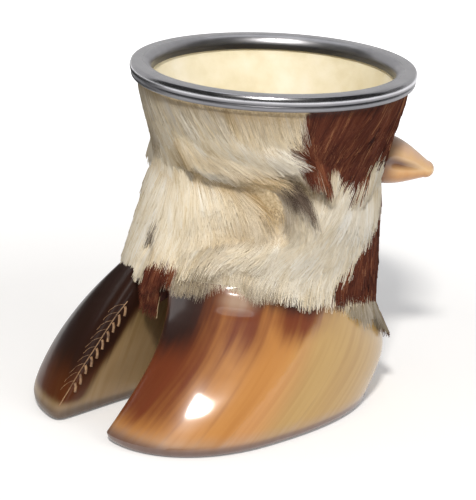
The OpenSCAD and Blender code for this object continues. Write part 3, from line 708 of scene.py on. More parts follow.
def hair_tree(material):
    """A tree that grows combed hairs on a surface. The surface's values lie, sweep, cover, long, slim, brown,
    grey, white and stain_and_shade steer them."""
    tree, add, given = new_tree("combed_hair", HAIR_SIZES, Seed="Int")
    value = {
        name: add("GeometryNodeInputNamedAttribute", {"Name": name}, data_type=kind)
        for kind, names in (("FLOAT", ("cover", "long", "slim", "along", "side", "cell")),
                            ("FLOAT_VECTOR", ("lie", "sweep")))
        for name in names
    }
    chance = {}
    for salt, (name, (low, high)) in enumerate(HAIR_CHANCES.items(), 1):
        seed = add("ShaderNodeMath", (given["Seed"], salt), operation="ADD")
        odds = {"Min": low, "Max": high, "Seed": seed}
        chance[name] = add("FunctionNodeRandomValue", odds, data_type="FLOAT")

    # Roots on the surface, each hair laid along its lie, in wisps and with a little stray
    close = add("ShaderNodeMath", (given["Hairs per square metre"], value["cover"]), operation="MULTIPLY")
    ground = {"Mesh": given["Geometry"], "Density": close, "Seed": given["Seed"]}
    roots = add("GeometryNodeDistributePointsOnFaces", ground).outputs
    turned = add("FunctionNodeAlignRotationToVector", {"Vector": value["lie"]}, axis="X")
    upright = {"Rotation": turned, "Vector": roots["Normal"]}
    turned = add("FunctionNodeAlignRotationToVector", upright, axis="Z", pivot_axis="X")
    place = add("GeometryNodeInputPosition")
    wisp = add("ShaderNodeTexNoise", {"Vector": place, "Detail": 1.0, "Scale": given["Wisps per metre"]})
    wisp = add("ShaderNodeMath", (wisp, 0.5), operation="SUBTRACT")
    together = add("ShaderNodeMath", (wisp, given["Wisp"]), operation="MULTIPLY")
    stray = add("ShaderNodeMath", (chance["stray"], given["Stray"], together), operation="MULTIPLY_ADD")
    for axis, angle in (((0, 0, 1), stray), ((0, 1, 0), chance["pitch"])):
        by = add("FunctionNodeAxisAngleToRotation", {"Axis": axis, "Angle": angle})
        both = {"Rotation": turned, "Rotate By": by}
        turned = add("FunctionNodeRotateRotation", both, rotation_space="LOCAL")

    # Hairs lie at many heights, so that those on top show their whole length
    length, height = (
        add("ShaderNodeMath", (chance[name], value["long"]), operation="MULTIPLY")
        for name in ("length", "height")
    )
    size = add("ShaderNodeCombineXYZ", (length, value["slim"], height))
    laid = {"Points": roots["Points"], "Instance": single_hair(add, given), "Rotation": turned, "Scale": size}
    hairs = add("GeometryNodeInstanceOnPoints", laid)
    count = add("GeometryNodeAttributeDomainSize", {"Geometry": hairs}, component="INSTANCES")
    tone = add("ShaderNodeMath", (wisp, WISP_SHADE, chance["shade"]), operation="MULTIPLY_ADD")
    for name, stored, kind in (
        ("shade", tone, "FLOAT"), ("cell", add("GeometryNodeInputIndex"), "FLOAT"),
        ("skin_way", roots["Normal"], "FLOAT_VECTOR"),
    ):
        what = {"Geometry": hairs, "Name": name, "Value": stored}
        hairs = add("GeometryNodeStoreNamedAttribute", what, data_type=kind, domain="INSTANCE")
    coat = add("GeometryNodeRealizeInstances", {"Geometry": hairs})

    # Hairs bend with the lie of the coat, and neighbours sway together, more towards their tips
    noise = add("ShaderNodeTexNoise", {"Vector": place, "Detail": 1.0, "Scale": given["Waves per metre"]})
    sway = add("ShaderNodeVectorMath", (noise.outputs["Color"], (0.5, 0.5, 0.5)), operation="SUBTRACT")
    reach = add("ShaderNodeMath", (value["along"], 1.5), operation="POWER")
    reach = add("ShaderNodeMath", (given["Wave"], reach), operation="MULTIPLY")
    sway = add("ShaderNodeVectorMath", {"Vector": sway, "Scale": reach}, operation="SCALE")
    run = add("ShaderNodeMath", (given["Length"], value["along"]), operation="MULTIPLY")
    run = add("ShaderNodeMath", (run, run), operation="MULTIPLY")
    run = add("ShaderNodeMath", (run, 0.5), operation="MULTIPLY")
    bend = add("ShaderNodeVectorMath", {"Vector": value["sweep"], "Scale": run}, operation="SCALE")
    moved = add("ShaderNodeVectorMath", (sway, bend), operation="ADD")
    coat = add("GeometryNodeSetPosition", {"Geometry": coat, "Offset": moved})

    cells = hair_cells(add, count.outputs["Instance Count"], value)
    what = {"Geometry": coat, "Name": "OFBake", "Value": cells}
    coat = add("GeometryNodeStoreNamedAttribute", what, data_type="FLOAT2", domain="CORNER")
    coat = add("GeometryNodeSetShadeSmooth", {"Geometry": coat})
    coat = add("GeometryNodeSetMaterial", {"Geometry": coat, "Material": material})
    add("NodeGroupOutput", {"Geometry": coat})
    return tree


def grow(name, surface, tree, inputs):
    """Runs a tree on a surface and keeps the result alone, as a plain mesh."""
    modifier = surface.modifiers.new("grow", "NODES")
    modifier.node_group = tree
    for item in tree.interface.items_tree:
        if item.in_out == "INPUT" and item.name in inputs:
            modifier[item.identifier] = inputs[item.name]
    grown = surface.evaluated_get(bpy.context.evaluated_depsgraph_get())
    mesh = bpy.data.meshes.new_from_object(grown)
    mesh.name = name
    scaffold = surface.data
    surface.modifiers.remove(modifier)
    bpy.data.objects.remove(surface)
    bpy.data.meshes.remove(scaffold)
    made = bpy.data.objects.new(name, mesh)
    bpy.context.scene.collection.objects.link(made)
    return made


SKIN_SHARE = 0.85


def soften(coat):
    """Lets a coat take the light mostly as the skin below it does, as fine hair does in a mass."""
    mesh = coat.data
    own, skin_way = (np.empty(3 * len(mesh.vertices), np.float32) for _ in range(2))
    mesh.vertex_normals.foreach_get("vector", own)
    mesh.attributes["skin_way"].data.foreach_get("vector", skin_way)
    way = mix(own, skin_way, SKIN_SHARE).reshape(-1, 3)
    way = way / np.maximum(np.linalg.norm(way, axis=1, keepdims=True), 1e-6)
    mesh.normals_split_custom_set_from_vertices(way)
    mesh.attributes.remove(mesh.attributes["skin_way"])
    return coat


DEWCLAW_HEADINGS = {"right": 90 - DEWCLAW_SPREAD, "left": 90 + DEWCLAW_SPREAD}
# The hair at the hide's lower edge: where that starts, and its length, closeness and width beside the rest
HEM_FROM, HEM_TO, HEM_FULL_H = 10.0, 2.0, 9.0
HEM_LENGTH, HEM_COVER, HEM_SLIM, HEM_UNEVEN, HEM_UNEVEN_SIZE = 0.46, 1.25, 0.6, 0.22, 2.6
# Where the hair of that edge is shorter or longer: an angle, a half width in degrees and how much it lacks
PARTINGS = ((-48, 8, 0.35), (-24, 12, 0.26), (46, 18, -0.4), (-90, 7 / MM_PER_DEGREE, -0.1))
# How far below the rim the coat starts, and where it thins out round a dewclaw's root, by the root's size
COAT_DROP, BARE_FROM, BARE_TO = 0.4, 0.75, 0.95
COAT_TOP_Z = RIM_BOTTOM_Z - COAT_DROP
# Painted shade in the hair: at the lower edge, between these heights above it, and under the rim, over this
# height
HEM_SHADE, HEM_SHADE_FROM, HEM_SHADE_TO, COLLAR_SHADE, COLLAR_SHADE_H = 0.55, 3.5, -1.5, 0.4, 2.5
HAIR_AHEAD, SHORTER_ON_ROLLS = 4.6, 0.35
WHITE_LEAST, WHITE_UNEVEN, WHITE_SIZE = 0.2, 0.3, 9.0
COAT_SECTORS, SECTOR_COLUMNS, COAT_ROWS = 12, 32, 72
SKIN_COLUMNS, SKIN_ROWS, SKIN_INSIDE_ROWS = 240, 80, 20


def hide_values(grid, angle, z):
    """What the hair reads at each point of the hide. A hair shows below its root, so its colour is that of
    the place half its length ahead."""
    lie, sweep = hair_lie(grid, angle, z)
    ahead = hair_ahead(angle, z, hair_turn(angle, z), HAIR_AHEAD)
    cover = np.ones_like(z)
    for heading in DEWCLAW_HEADINGS.values():
        off = np.hypot(apart(angle, heading) / DEWCLAW_ROOT_W, (z - DEWCLAW_Z) / DEWCLAW_ROOT_H)
        cover = cover * smooth_step(BARE_FROM, BARE_TO, off)
    low = z - hide_low_z(angle)
    near_hem = smooth_step(HEM_FROM, HEM_TO, low)
    rolled = share(sum(strength * spot(up, SWELL_RISE, SWELL_W) for up, strength in fold_lines(angle, z)))
    lacking = sum(short * bell(angle_apart(angle, at) / half) for at, half, short in PARTINGS)
    uneven = HEM_UNEVEN * wander(angle, z, HEM_UNEVEN_SIZE, 5.2)
    length = mix(HEM_LENGTH, 1.0, smooth_step(0, HEM_FULL_H, low)) * (1 - SHORTER_ON_ROLLS * rolled)
    # Painted shade greys the hair at the lower edge and just under the rim
    hem_shade = HEM_SHADE * smooth_step(HEM_SHADE_FROM, HEM_SHADE_TO, ahead[1] - hide_low_z(ahead[0]))
    collar_shade = COLLAR_SHADE * smooth_step(COAT_TOP_Z - COLLAR_SHADE_H, COAT_TOP_Z, z)
    white = marks_share(*ahead, WHITE_AND_LIGHT_MARKS)
    return {
        "lie": lie,
        "sweep": sweep,
        "brown": brown_share(*ahead),
        "grey": np.max([marks_share(*ahead, GREY_AND_SHADE_MARKS), hem_shade, collar_shade], axis=0),
        "white": share(WHITE_LEAST + WHITE_UNEVEN * wander(*ahead, WHITE_SIZE, 1.9) + white),
        "stain_and_shade": STAIN_AND_SHADE_SHARE * stain_and_shade_share(*ahead) * (1 - white),
        "cover": cover * mix(1.0, HEM_COVER, near_hem),
        "long": length + near_hem * (uneven - lacking),
        "slim": mix(1.0, HEM_SLIM, near_hem),
    }


def hide_skin():
    """The sleeve of skin under the hair, with its inside face."""
    angles = np.linspace(-180, 180, SKIN_COLUMNS, endpoint=False)
    outside, angle, z = hide_grid(angles, np.linspace(0, 1, SKIN_ROWS))
    inside = hide_grid(angles, np.linspace(1, 0, SKIN_INSIDE_ROWS), HIDE_T, relief=False)[0]
    brown = np.concatenate([brown_share(angle, z), np.zeros(inside.shape[:2])])
    points = np.concatenate([outside, inside])
    made = mesh_object("hide_skin", points, grid_faces(*points.shape[:2], hoop=True), {"brown": brown})
    return finish_mesh(made, rawhide())


skin = hide_skin()
keep(skin, "hide", "hide_sleeve")

hair = hair_tree(cow_hair())
whole = np.linspace(-180, 180, COAT_SECTORS * SECTOR_COLUMNS, endpoint=False)
coat_grid, coat_angle, coat_z = hide_grid(whole, np.linspace(0, 1, COAT_ROWS), top_z=COAT_TOP_Z)
coat_values = hide_values(coat_grid, coat_angle, coat_z)
for sector in range(COAT_SECTORS):
    columns = np.arange(sector * SECTOR_COLUMNS, (sector + 1) * SECTOR_COLUMNS + 1) % len(whole)
    surface = mesh_object(
        "coat_surface", coat_grid[:, columns], grid_faces(COAT_ROWS, len(columns), open_side=True),
        {key: value[:, columns] for key, value in coat_values.items()},
    )
    keep(soften(grow(f"coat_{sector + 1}", surface, hair, {**HAIR_SIZES, "Seed": 10 * sector + 3})), "hide")


# The claws

CLAW_SIDES, WALL_ROWS, EDGE_ROWS, HOLLOW_ROWS = 220, 72, 7, 7
HALF_TURN_STEPS = 720
SOFTENING = np.hanning(11)[1:-1]
# How far the horn's streaks lean towards the toe over a claw's whole height, and the rise where that is none
STREAK_SLANT, STREAK_LEVEL = 11.0, 0.75


def squared(value, fullness):
    return np.sign(value) * np.abs(value) ** (2 / fullness)


def claw_loop(foot, s, inset=0.0):
    """A claw's outline at a share s of the way up, x outwards. It runs from the heel along the cleft to the
    toe and back outside, in even steps on each side of the toe, with its corners softened."""
    toe, half_w, _, toe_bend, toe_swell, wall_swell = foot
    bow = math.sin(math.pi * s)
    toe_y = mix(-toe, SEAT_FRONT - CLAW_LIP, s) - toe_swell * bow + inset
    heel_y = mix(HEEL, SEAT_BACK + CLAW_LIP, s) + HEEL_SWELL * bow - inset
    out_x = mix(half_w, CORONET_R + CLAW_LIP, s) + wall_swell * math.sin(math.pi * s ** SWELL_HEIGHT) - inset
    in_x = mix(CLEFT_SOLE, CLEFT_TOP, s) + inset
    mid_x, mid_y = mix(TOE_X, TOE_TOP_X, s) + inset, mix(-SOLE_WIDEST, -FOOT_AHEAD, s)
    a = np.radians(np.linspace(90, 450, 2 * HALF_TURN_STEPS + 1))
    outer = np.cos(a) > 0
    fullness = np.where(outer, mix(SOLE_FULLNESS, TOP_FULLNESS, s), CLEFT_FULLNESS)
    reach_x = np.where(outer, out_x - mid_x, mid_x - in_x)
    reach_y = np.where(np.sin(a) < 0, mid_y - toe_y, heel_y - mid_y)
    back = squared(np.sin(a), fullness)
    x = mid_x + reach_x * squared(np.cos(a), fullness) - toe_bend * (1 - s) * share(-back) ** 2
    line = np.stack([x, mid_y + reach_y * back], -1)
    halves = []
    for half in (line[: HALF_TURN_STEPS + 1], line[HALF_TURN_STEPS:]):
        run = np.concatenate([[0], np.cumsum(np.linalg.norm(np.diff(half, axis=0), axis=1))])
        steps = np.linspace(0, run[-1], CLAW_SIDES // 2, endpoint=False)
        halves.append(np.stack([np.interp(steps, run, half[:, 0]), np.interp(steps, run, half[:, 1])], -1))
    loop, reach = np.concatenate(halves), len(SOFTENING) // 2
    return sum(w * np.roll(loop, k - reach, 0) for k, w in enumerate(SOFTENING / SOFTENING.sum()))


def claw_ring(foot, s, inset=0.0, low_z=SOLE_EDGE_R, t=None):
    """That outline in space, at a share t of the way from a level up to the hide."""
    x, y = claw_loop(foot, s, inset).T
    return np.stack([foot[2] * x, y, mix(low_z, seat_z(foot[2] * x, y), s if t is None else t)], -1)


def claw_wall(foot, relief):
    """Rings of a claw's outer wall, their normals, and each column's distance round from the toe."""
    rises = np.linspace(0, 1, WALL_ROWS)
    wall = np.stack([claw_ring(foot, s) for s in rises])
    middle = wall[WALL_ROWS // 2]
    step = np.linalg.norm(np.roll(middle, -1, 0) - middle, axis=1)
    around = np.cumsum(step) - step
    around = around - around[CLAW_SIDES // 2]
    wall = wall + grid_normals(wall, foot[2]) * relief(around[None, :], rises[:, None])[..., None]
    return wall, grid_normals(wall, foot[2]), around


# The rise that the start of the sole's rounded edge counts as in the horn's colours
EDGE_RISE = -0.06
# Painted contact shade, a dark strip along the sole where it meets the floor, as rises between which it
# fades, and how far it climbs at the toe
CONTACT_SHADE_FROM, CONTACT_SHADE_TO, CONTACT_SHADE_TOE, CONTACT_SHADE_TOE_W = 0.045, -0.03, 0.05, 16.0


def claw_mesh(name, foot, wall, around, zones, material):
    """A hollow claw round its wall, with the places and shares that its horn's colours read."""
    edge = [
        claw_ring(foot, 0.0, SOLE_EDGE_R * (1 - math.sin(b)), SOLE_EDGE_R * (1 - math.cos(b)), 0.0)
        for b in np.linspace(0, np.pi / 2, EDGE_ROWS, endpoint=False)
    ]
    hollow = [
        claw_ring(foot, mix(SOLE_T / CORONET_FRONT_Z, 1, t), HORN_T, SOLE_T, t)
        for t in np.linspace(1, 0, HOLLOW_ROWS)
    ]
    points = np.concatenate([edge, wall, hollow])
    low = np.linspace(EDGE_RISE, 0, EDGE_ROWS, endpoint=False)
    rises = np.concatenate([low, np.linspace(0, 1, WALL_ROWS), np.ones(HOLLOW_ROWS)])
    around, rise = np.meshgrid(around, rises)
    streak = np.stack([around - STREAK_SLANT * rise, rise * CORONET_FRONT_Z, np.zeros_like(rise)], -1)
    contact_shade = smooth_step(CONTACT_SHADE_FROM + CONTACT_SHADE_TOE * bell(around / CONTACT_SHADE_TOE_W), CONTACT_SHADE_TO, rise)
    values = {"streak": streak, **zones(around, rise), "contact_shade": contact_shade}
    faces = grid_faces(len(points), CLAW_SIDES) + end_caps(len(points), CLAW_SIDES)
    return finish_mesh(mesh_object(name, points, faces, values), material)


# The horn's growth rings, by depth, number and lean, what the polishing left uneven, by depth and width, and
# the part of a claw's height at each end over which both fade
RING_D, RINGS, RING_LEAN, UNEVEN_D, UNEVEN_W, RELIEF_FADE = 0.004, 11, 0.01, 0.12, 9, 0.1
# A drop of set varnish below the hair of the right claw, by its distance round from the toe
DROP_AROUND, DROP_RISE, DROP_HALF_W, DROP_HALF_RISE, DROP_T = 24.5, 0.9, 6.4, 0.075, 1.0
# A spot that the polishing left a little flat, which throws back one small bright glint
GLINT_AROUND, GLINT_RISE, GLINT_HALF_W, GLINT_HALF_RISE = 22.0, 0.25, 8.0, 0.15
GLINT_HOLLOW, GLINT_TURN, GLINT_TILT = 0.014, 0.103, 5.4


def growth_lines(around, rise):
    """Faint rings that the horn grew in, and a slow unevenness left by the polishing."""
    rings = RING_D * np.sin(2 * np.pi * (rise * RINGS + RING_LEAN * around))
    slow = UNEVEN_D * np.sin(around / UNEVEN_W + rise * 3.4) * np.sin(rise * 4.3 + 1.3)
    return (rings + slow) * smooth_step(0, RELIEF_FADE, rise) * smooth_step(1, 1 - RELIEF_FADE, rise)


def right_relief(around, rise):
    """The near claw's growth lines, drop of varnish and flat spot."""
    drop = np.exp(-(((around - DROP_AROUND) / DROP_HALF_W) ** 4) - ((rise - DROP_RISE) / DROP_HALF_RISE) ** 4)
    off, up = around - GLINT_AROUND, rise - GLINT_RISE
    flat = GLINT_HOLLOW * off * off - GLINT_TURN * off - GLINT_TILT * up
    flat = flat * bell(off / GLINT_HALF_W) * bell(up / GLINT_HALF_RISE)
    return growth_lines(around, rise) + DROP_T * drop + flat


# The near claw's dark and red-brown streaks: a strength, a middle and half width by distance round from the
# toe, and the rises between which each comes in. The second dark one, just under the hair, is painted shadow
# of the hair on the horn.
RIGHT_STREAKS = {
    "dark": ((1.0, (5, 12), (0.34, 0.7)), (0.85, (42, 15), (0.76, 0.95))),
    "red": ((1.0, (7, 21), (-0.05, 0.2)), (0.95, (44, 13), (0.5, 0.84)), (0.75, (27, 14), (0.25, 0.75))),
}
# Where that claw turns pale towards the heel and towards the cleft, and where its sole's edge is worn and
# carries a painted reflection of the floor
RIGHT_PALE, RIGHT_CLEFT_PALE, RIGHT_WORN_AND_SHEEN = (36, 60), (-8, -20), (0.14, 0.0)
# The same for the far claw, whose dark outside starts beside the cleft, at a slant, and is paler at the heel
LEFT_DARK, LEFT_DARK_SLANT, LEFT_DARK_RISE = (-11.5, -5), 5, (0.05, 0.5)
LEFT_HEEL, LEFT_HEEL_DARK = (40, 90), 0.35
LEFT_RED_RISE, LEFT_PALE, LEFT_PALE_RISE, LEFT_WORN_AND_SHEEN = (0.0, 0.12), (-6, -15), (0.85, 0.2), (0.12, 0.0)


def right_zones(around, rise):
    """Shares of the near claw's colours: dark and red-brown in front, painted shadow under the hair, pale
    towards the heel.
    """
    place = around - STREAK_SLANT * (rise - STREAK_LEVEL)
    drop = spot(around, DROP_AROUND, DROP_HALF_W) * spot(rise, DROP_RISE, DROP_HALF_RISE)
    zones = {
        zone: np.max([power * spot(place, *at) * smooth_step(*rises, rise) for power, at, rises in rows], 0)
        for zone, rows in RIGHT_STREAKS.items()
    }
    in_cleft = 0.7 * smooth_step(*RIGHT_CLEFT_PALE, around)
    zones["pale"] = np.maximum(smooth_step(*RIGHT_PALE, around), in_cleft)
    # The sole's edge: wear with a painted reflection of the floor; the varnish drop takes the same colour
    zones["worn"] = np.maximum(0.55 * smooth_step(*RIGHT_WORN_AND_SHEEN, rise), 0.8 * drop)
    return zones


def left_zones(around, rise):
    """Shares of the far claw's colours: dark outside and round the sprig, beige along the cleft."""
    outside = smooth_step(*LEFT_DARK, around + LEFT_DARK_SLANT * rise)
    front = mix(1, LEFT_HEEL_DARK, smooth_step(*LEFT_HEEL, around))
    return {
        "dark": outside * front * smooth_step(*LEFT_DARK_RISE, rise),
        "red": outside * smooth_step(*LEFT_RED_RISE, rise),
        "pale": smooth_step(*LEFT_PALE, around) * smooth_step(*LEFT_PALE_RISE, rise),
        "worn": 0.75 * smooth_step(*LEFT_WORN_AND_SHEEN, rise),
    }


# The horn's colours in the order in which they are laid, with how ragged each one's edge is. The sole's pale
# band is wear with a painted reflection of the floor, and the dark strip below it is painted shade
HORN_ZONES = (("pale", 0.2), ("red", 0.75), ("dark", 0.55), ("worn", 0.2), ("contact_shade", 0.1))
# The width, length and detail of the horn's fine and broad streaks
HORN_STREAKS = ((3.2, 50.0, 2.0), (10.0, 24.0, 3.0))
AMBER = {
    "base": "#bd8446", "pale": "#b5914f", "red": "#703519", "dark": "#2d1812", "worn": "#a58c78",
    "contact_shade": "#6d5349",
}
DARK = {
    "base": "#86704c", "pale": "#a88d66", "red": "#52290f", "dark": "#2b1811", "worn": "#a08a70",
    "contact_shade": "#6b5c50",
}


def polished_horn(name, colours, gloss):
    """Cow horn, scraped and polished: streaked along its growth, clouded and glossy under a clear coat.
    Shares on the claw say where each colour lies: dark, red, pale, a pale band of wear with a painted
    reflection of the floor along the sole, and a strip of painted shade where the sole meets the floor."""
    made, add = new_material(name)
    place = add("ShaderNodeAttribute", attribute_name="streak").outputs["Vector"]
    streaks = []
    for width, length, detail in HORN_STREAKS:
        drawn = add("ShaderNodeVectorMath", (place, (1 / width, 1 / length, 1)), operation="MULTIPLY")
        streaks.append(add("ShaderNodeTexNoise", {"Vector": drawn, "Scale": 1.0, "Detail": detail}))
    fine, broad = streaks
    uneven = add("ShaderNodeMath", (broad, 0.7, -1.05), operation="MULTIPLY_ADD")
    uneven = add("ShaderNodeMath", (fine, 1.4, uneven), operation="MULTIPLY_ADD")
    tint = colours["base"]
    for zone, ragged in HORN_ZONES:
        mask = add("ShaderNodeAttribute", attribute_name=zone).outputs["Fac"]
        mask = add("ShaderNodeMath", (uneven, ragged, mask), operation="MULTIPLY_ADD")
        edge = {"Value": mask, "From Min": 0.05, "From Max": 0.95}
        mask = add("ShaderNodeMapRange", edge, interpolation_type="SMOOTHSTEP")
        tint = add("ShaderNodeMix", {"Factor": mask, "A": tint, "B": colours[zone]}, data_type="RGBA")
    lines = add("ShaderNodeValToRGB", {"Fac": fine}, stops=((0.3, "#eee6d9"), (0.6, "#ffffff")))
    lined = {"Factor": 1.0, "A": tint, "B": lines}
    tint = add("ShaderNodeMix", lined, data_type="RGBA", blend_type="MULTIPLY")
    bump = add("ShaderNodeBump", {"Strength": 0.05, "Distance": 0.1 * MM, "Height": fine})
    shade(add, {
        "Base Color": tint, "Roughness": 0.38, "IOR": 1.54, "Specular IOR Level": 0.5 * gloss,
        "Coat Weight": gloss, "Coat Roughness": 0.13, "Normal": bump,
    })
    return made


right_wall, _, right_around = claw_wall(RIGHT_FOOT, right_relief)
amber_horn = polished_horn("polished_amber_horn", AMBER, gloss=0.75)
right_claw = claw_mesh("right_claw_horn", RIGHT_FOOT, right_wall, right_around, right_zones, amber_horn)
keep(right_claw, "amber_horn", "right_claw")
left_wall, left_normal, left_around = claw_wall(LEFT_FOOT, growth_lines)
dark_horn = polished_horn("polished_dark_horn", DARK, gloss=0.3)
left_claw = claw_mesh("left_claw_horn", LEFT_FOOT, left_wall, left_around, left_zones, dark_horn)
keep(left_claw, "dark_horn", "left_claw")


# The sprig engraved on the left claw: its stem from the top down, by distance round from the toe and rise
SPRIG_STEM = ((-5.6, 0.76), (-4.4, 0.67), (-3.8, 0.56), (-3.2, 0.44), (-2.2, 0.3), (-1.6, 0.17), (-0.8, 0.05))
STEM_POINTS, STEM_LIFT = 40, 0.05
SPRIG_SIZES = {
    "Stem width": 0.34 * MM, "Barb length": 6.5 * MM, "Barb width": 0.13 * MM, "Grain length": 4.0 * MM,
    "Grain width": 1.0 * MM, "Turn": math.radians(40), "Bend": 0.5 * MM,
}
# The side of the stem on which barbs and grains stand, and how far off it they start, by their length
SPRIG_PARTS = (("Barb", -1, 0.0), ("Grain", 1, 0.18))
# How many there are, where along the stem, and how much their sizes differ
BARBS, BARBS_FROM, BARBS_TO, BARBS_LEAST, BARBS_MOST = 10, 0.03, 0.76, 0.75, 1.15
# The part of a sine's half turn over which they swell
SWELL_START, SWELL_TURN = 0.3, 0.86 * math.pi


def bone_filler():
    """Pale filler rubbed into the engraved lines."""
    made, add = new_material("pale_filler")
    _, tint = mottled(add, 1.4, 3.0, ((0.3, "#5f4330"), (0.65, "#a07c57")))
    shade(add, {"Base Color": tint, "Roughness": 0.4, "Coat Weight": 0.6})
    return made


def sprig_tree(material):
    """A tree that draws a sprig on a stem: thin curved barbs on one side and short grains on the other, all
    laid onto the claw."""
    tree, add, given = new_tree("engraved_sprig", SPRIG_SIZES, Barbs="Int", Claw="Object")
    stem = add("GeometryNodeMeshToCurve", {"Mesh": given["Geometry"]})
    claw = add("GeometryNodeObjectInfo", {"Object": given["Claw"]}).outputs["Geometry"]
    on_claw = add("GeometryNodeProximity", (claw,), target_element="FACES").outputs["Position"]
    places = add("GeometryNodeTrimCurve", {"Curve": stem, "Start": BARBS_FROM, "End": BARBS_TO})
    places = add("GeometryNodeResampleCurve", {"Curve": places, "Count": given["Barbs"]})
    face = add("GeometryNodeInputNamedAttribute", {"Name": "face"}, data_type="FLOAT_VECTOR")
    turned = add("FunctionNodeAlignRotationToVector", {"Vector": add("GeometryNodeInputTangent")}, axis="X")
    upright = {"Rotation": turned, "Vector": face}
    turned = add("FunctionNodeAlignRotationToVector", upright, axis="Z", pivot_axis="X")
    # Barbs and grains swell past their middle and thin to their ends
    along = add("GeometryNodeSplineParameter").outputs["Factor"]
    swell = add("ShaderNodeMath", (along, along), operation="MULTIPLY")
    swell = add("ShaderNodeMath", (swell, SWELL_TURN, SWELL_START), operation="MULTIPLY_ADD")
    swell = add("ShaderNodeMath", (swell,), operation="SINE")
    drawn = [(stem, given["Stem width"], 1.0)]
    for part, side, off in SPRIG_PARTS:
        length = given[f"{part} length"]
        middle, start = (add("ShaderNodeMath", (length, t), operation="MULTIPLY") for t in (0.5, off))
        bend, turn = (
            add("ShaderNodeMath", (given[name], side), operation="MULTIPLY") for name in ("Bend", "Turn")
        )
        points = {
            "Resolution": 6,
            "Start": add("ShaderNodeCombineXYZ", (start,)),
            "Middle": add("ShaderNodeCombineXYZ", (middle, bend)),
            "End": add("ShaderNodeCombineXYZ", (length,)),
        }
        line = add("GeometryNodeCurveQuadraticBezier", points)
        by = add("FunctionNodeAxisAngleToRotation", {"Axis": (0, 0, 1), "Angle": turn})
        way = add("FunctionNodeRotateRotation", {"Rotation": turned, "Rotate By": by}, rotation_space="LOCAL")
        odds = {"Min": BARBS_LEAST, "Max": BARBS_MOST, "Seed": 4 + side}
        size = add("FunctionNodeRandomValue", odds, data_type="FLOAT")
        laid = {"Points": places, "Instance": line, "Rotation": way, "Scale": size}
        lines = add("GeometryNodeInstanceOnPoints", laid)
        lines = add("GeometryNodeRealizeInstances", {"Geometry": lines})
        lines = add("GeometryNodeSetPosition", {"Geometry": lines, "Position": on_claw})
        drawn.append((lines, given[f"{part} width"], swell))
    join = add("GeometryNodeJoinGeometry")
    for line, width, radius in drawn:
        line = add("GeometryNodeSetCurveRadius", {"Curve": line, "Radius": radius})
        half = add("ShaderNodeMath", (width, 0.5), operation="MULTIPLY")
        section = add("GeometryNodeCurvePrimitiveCircle", {"Resolution": 6, "Radius": half})
        tube = {"Curve": line, "Profile Curve": section, "Fill Caps": True}
        tree.links.new(add("GeometryNodeCurveToMesh", tube).outputs["Mesh"], join.inputs[0])
    sprig = add("GeometryNodeRealizeInstances", {"Geometry": join})
    sprig = add("GeometryNodeSetShadeSmooth", {"Geometry": sprig})
    sprig = add("GeometryNodeSetMaterial", {"Geometry": sprig, "Material": material})
    add("NodeGroupOutput", {"Geometry": sprig})
    return tree


def on_wall(grid, columns_around, around, rise):
    """The value of a claw's wall grid at a distance round from the toe and a rise."""
    row, column = rise * (WALL_ROWS - 1), np.interp(around, columns_around, np.arange(CLAW_SIDES))
    low_row, low_column = np.minimum(row.astype(int), WALL_ROWS - 2), column.astype(int)
    t, u = (row - low_row)[:, None], (column - low_column)[:, None]
    low = mix(grid[low_row, low_column], grid[low_row, low_column + 1], u)
    high = mix(grid[low_row + 1, low_column], grid[low_row + 1, low_column + 1], u)
    return mix(low, high, t)


def sprig_stem():
    """The sprig's stem as a line of points on the left claw, with the way that the claw faces there."""
    steps = np.linspace(0, len(SPRIG_STEM) - 1, STEM_POINTS)
    at = [np.interp(steps, np.arange(len(SPRIG_STEM)), value) for value in zip(*SPRIG_STEM)]
    normal = on_wall(left_normal, left_around, *at)
    points = on_wall(left_wall, left_around, *at) + STEM_LIFT * normal
    made = mesh_object("stem", points, [], {"face": normal})
    made.data.edges.add(STEM_POINTS - 1)
    ends = np.stack([np.arange(STEM_POINTS - 1), np.arange(1, STEM_POINTS)], -1)
    made.data.edges.foreach_set("vertices", ends.ravel())
    return made


sprig_inputs = {**SPRIG_SIZES, "Claw": left_claw, "Barbs": BARBS}
keep(grow("engraved_sprig", sprig_stem(), sprig_tree(bone_filler()), sprig_inputs), "dark_horn")


# The skin in the cleft between the claws, with hanging hair at its front and back

WEB_HALF_W, WEB_STEPS, WEB_COLUMNS = CLEFT_TOP - CLEFT_FIT, 30, 9
TUFT_COLUMNS, TUFT_ROWS, TUFT_HAIRS, TUFT_LENGTH, TUFT_SLIM = 7, 9, 1.6e7, 0.55, 0.7
TUFT_SPREAD, TUFT_OUT, TUFT_BROWN_TOP, TUFT_BROWN_LOW = 0.06, 0.3, 0.85, 0.6


def cleft_web():
    """A strip of skin between the claws, deeper and rounded at its two ends."""
    u = (1 - np.cos(np.linspace(0, np.pi, WEB_STEPS))) / 2
    y = mix(SEAT_FRONT, SEAT_BACK, u)
    top = seat_z(-WEB_HALF_W, y)
    low = top - CLEFT_SKIN_T - CLEFT_SKIN_DIP * (2 * u - 1) ** CLEFT_DIP
    outline = np.concatenate([np.stack([y, top], -1), np.stack([y, low], -1)[::-1]])
    x = np.linspace(-WEB_HALF_W, WEB_HALF_W, WEB_COLUMNS)
    points = np.stack([np.concatenate([np.full((len(outline), 1), at), outline], 1) for at in x])
    faces = grid_faces(WEB_COLUMNS, len(outline)) + end_caps(WEB_COLUMNS, len(outline))
    made = mesh_object("cleft_web", points, faces, {"brown": np.ones(points.shape[:2])})
    return finish_mesh(made, skin.data.materials[0])


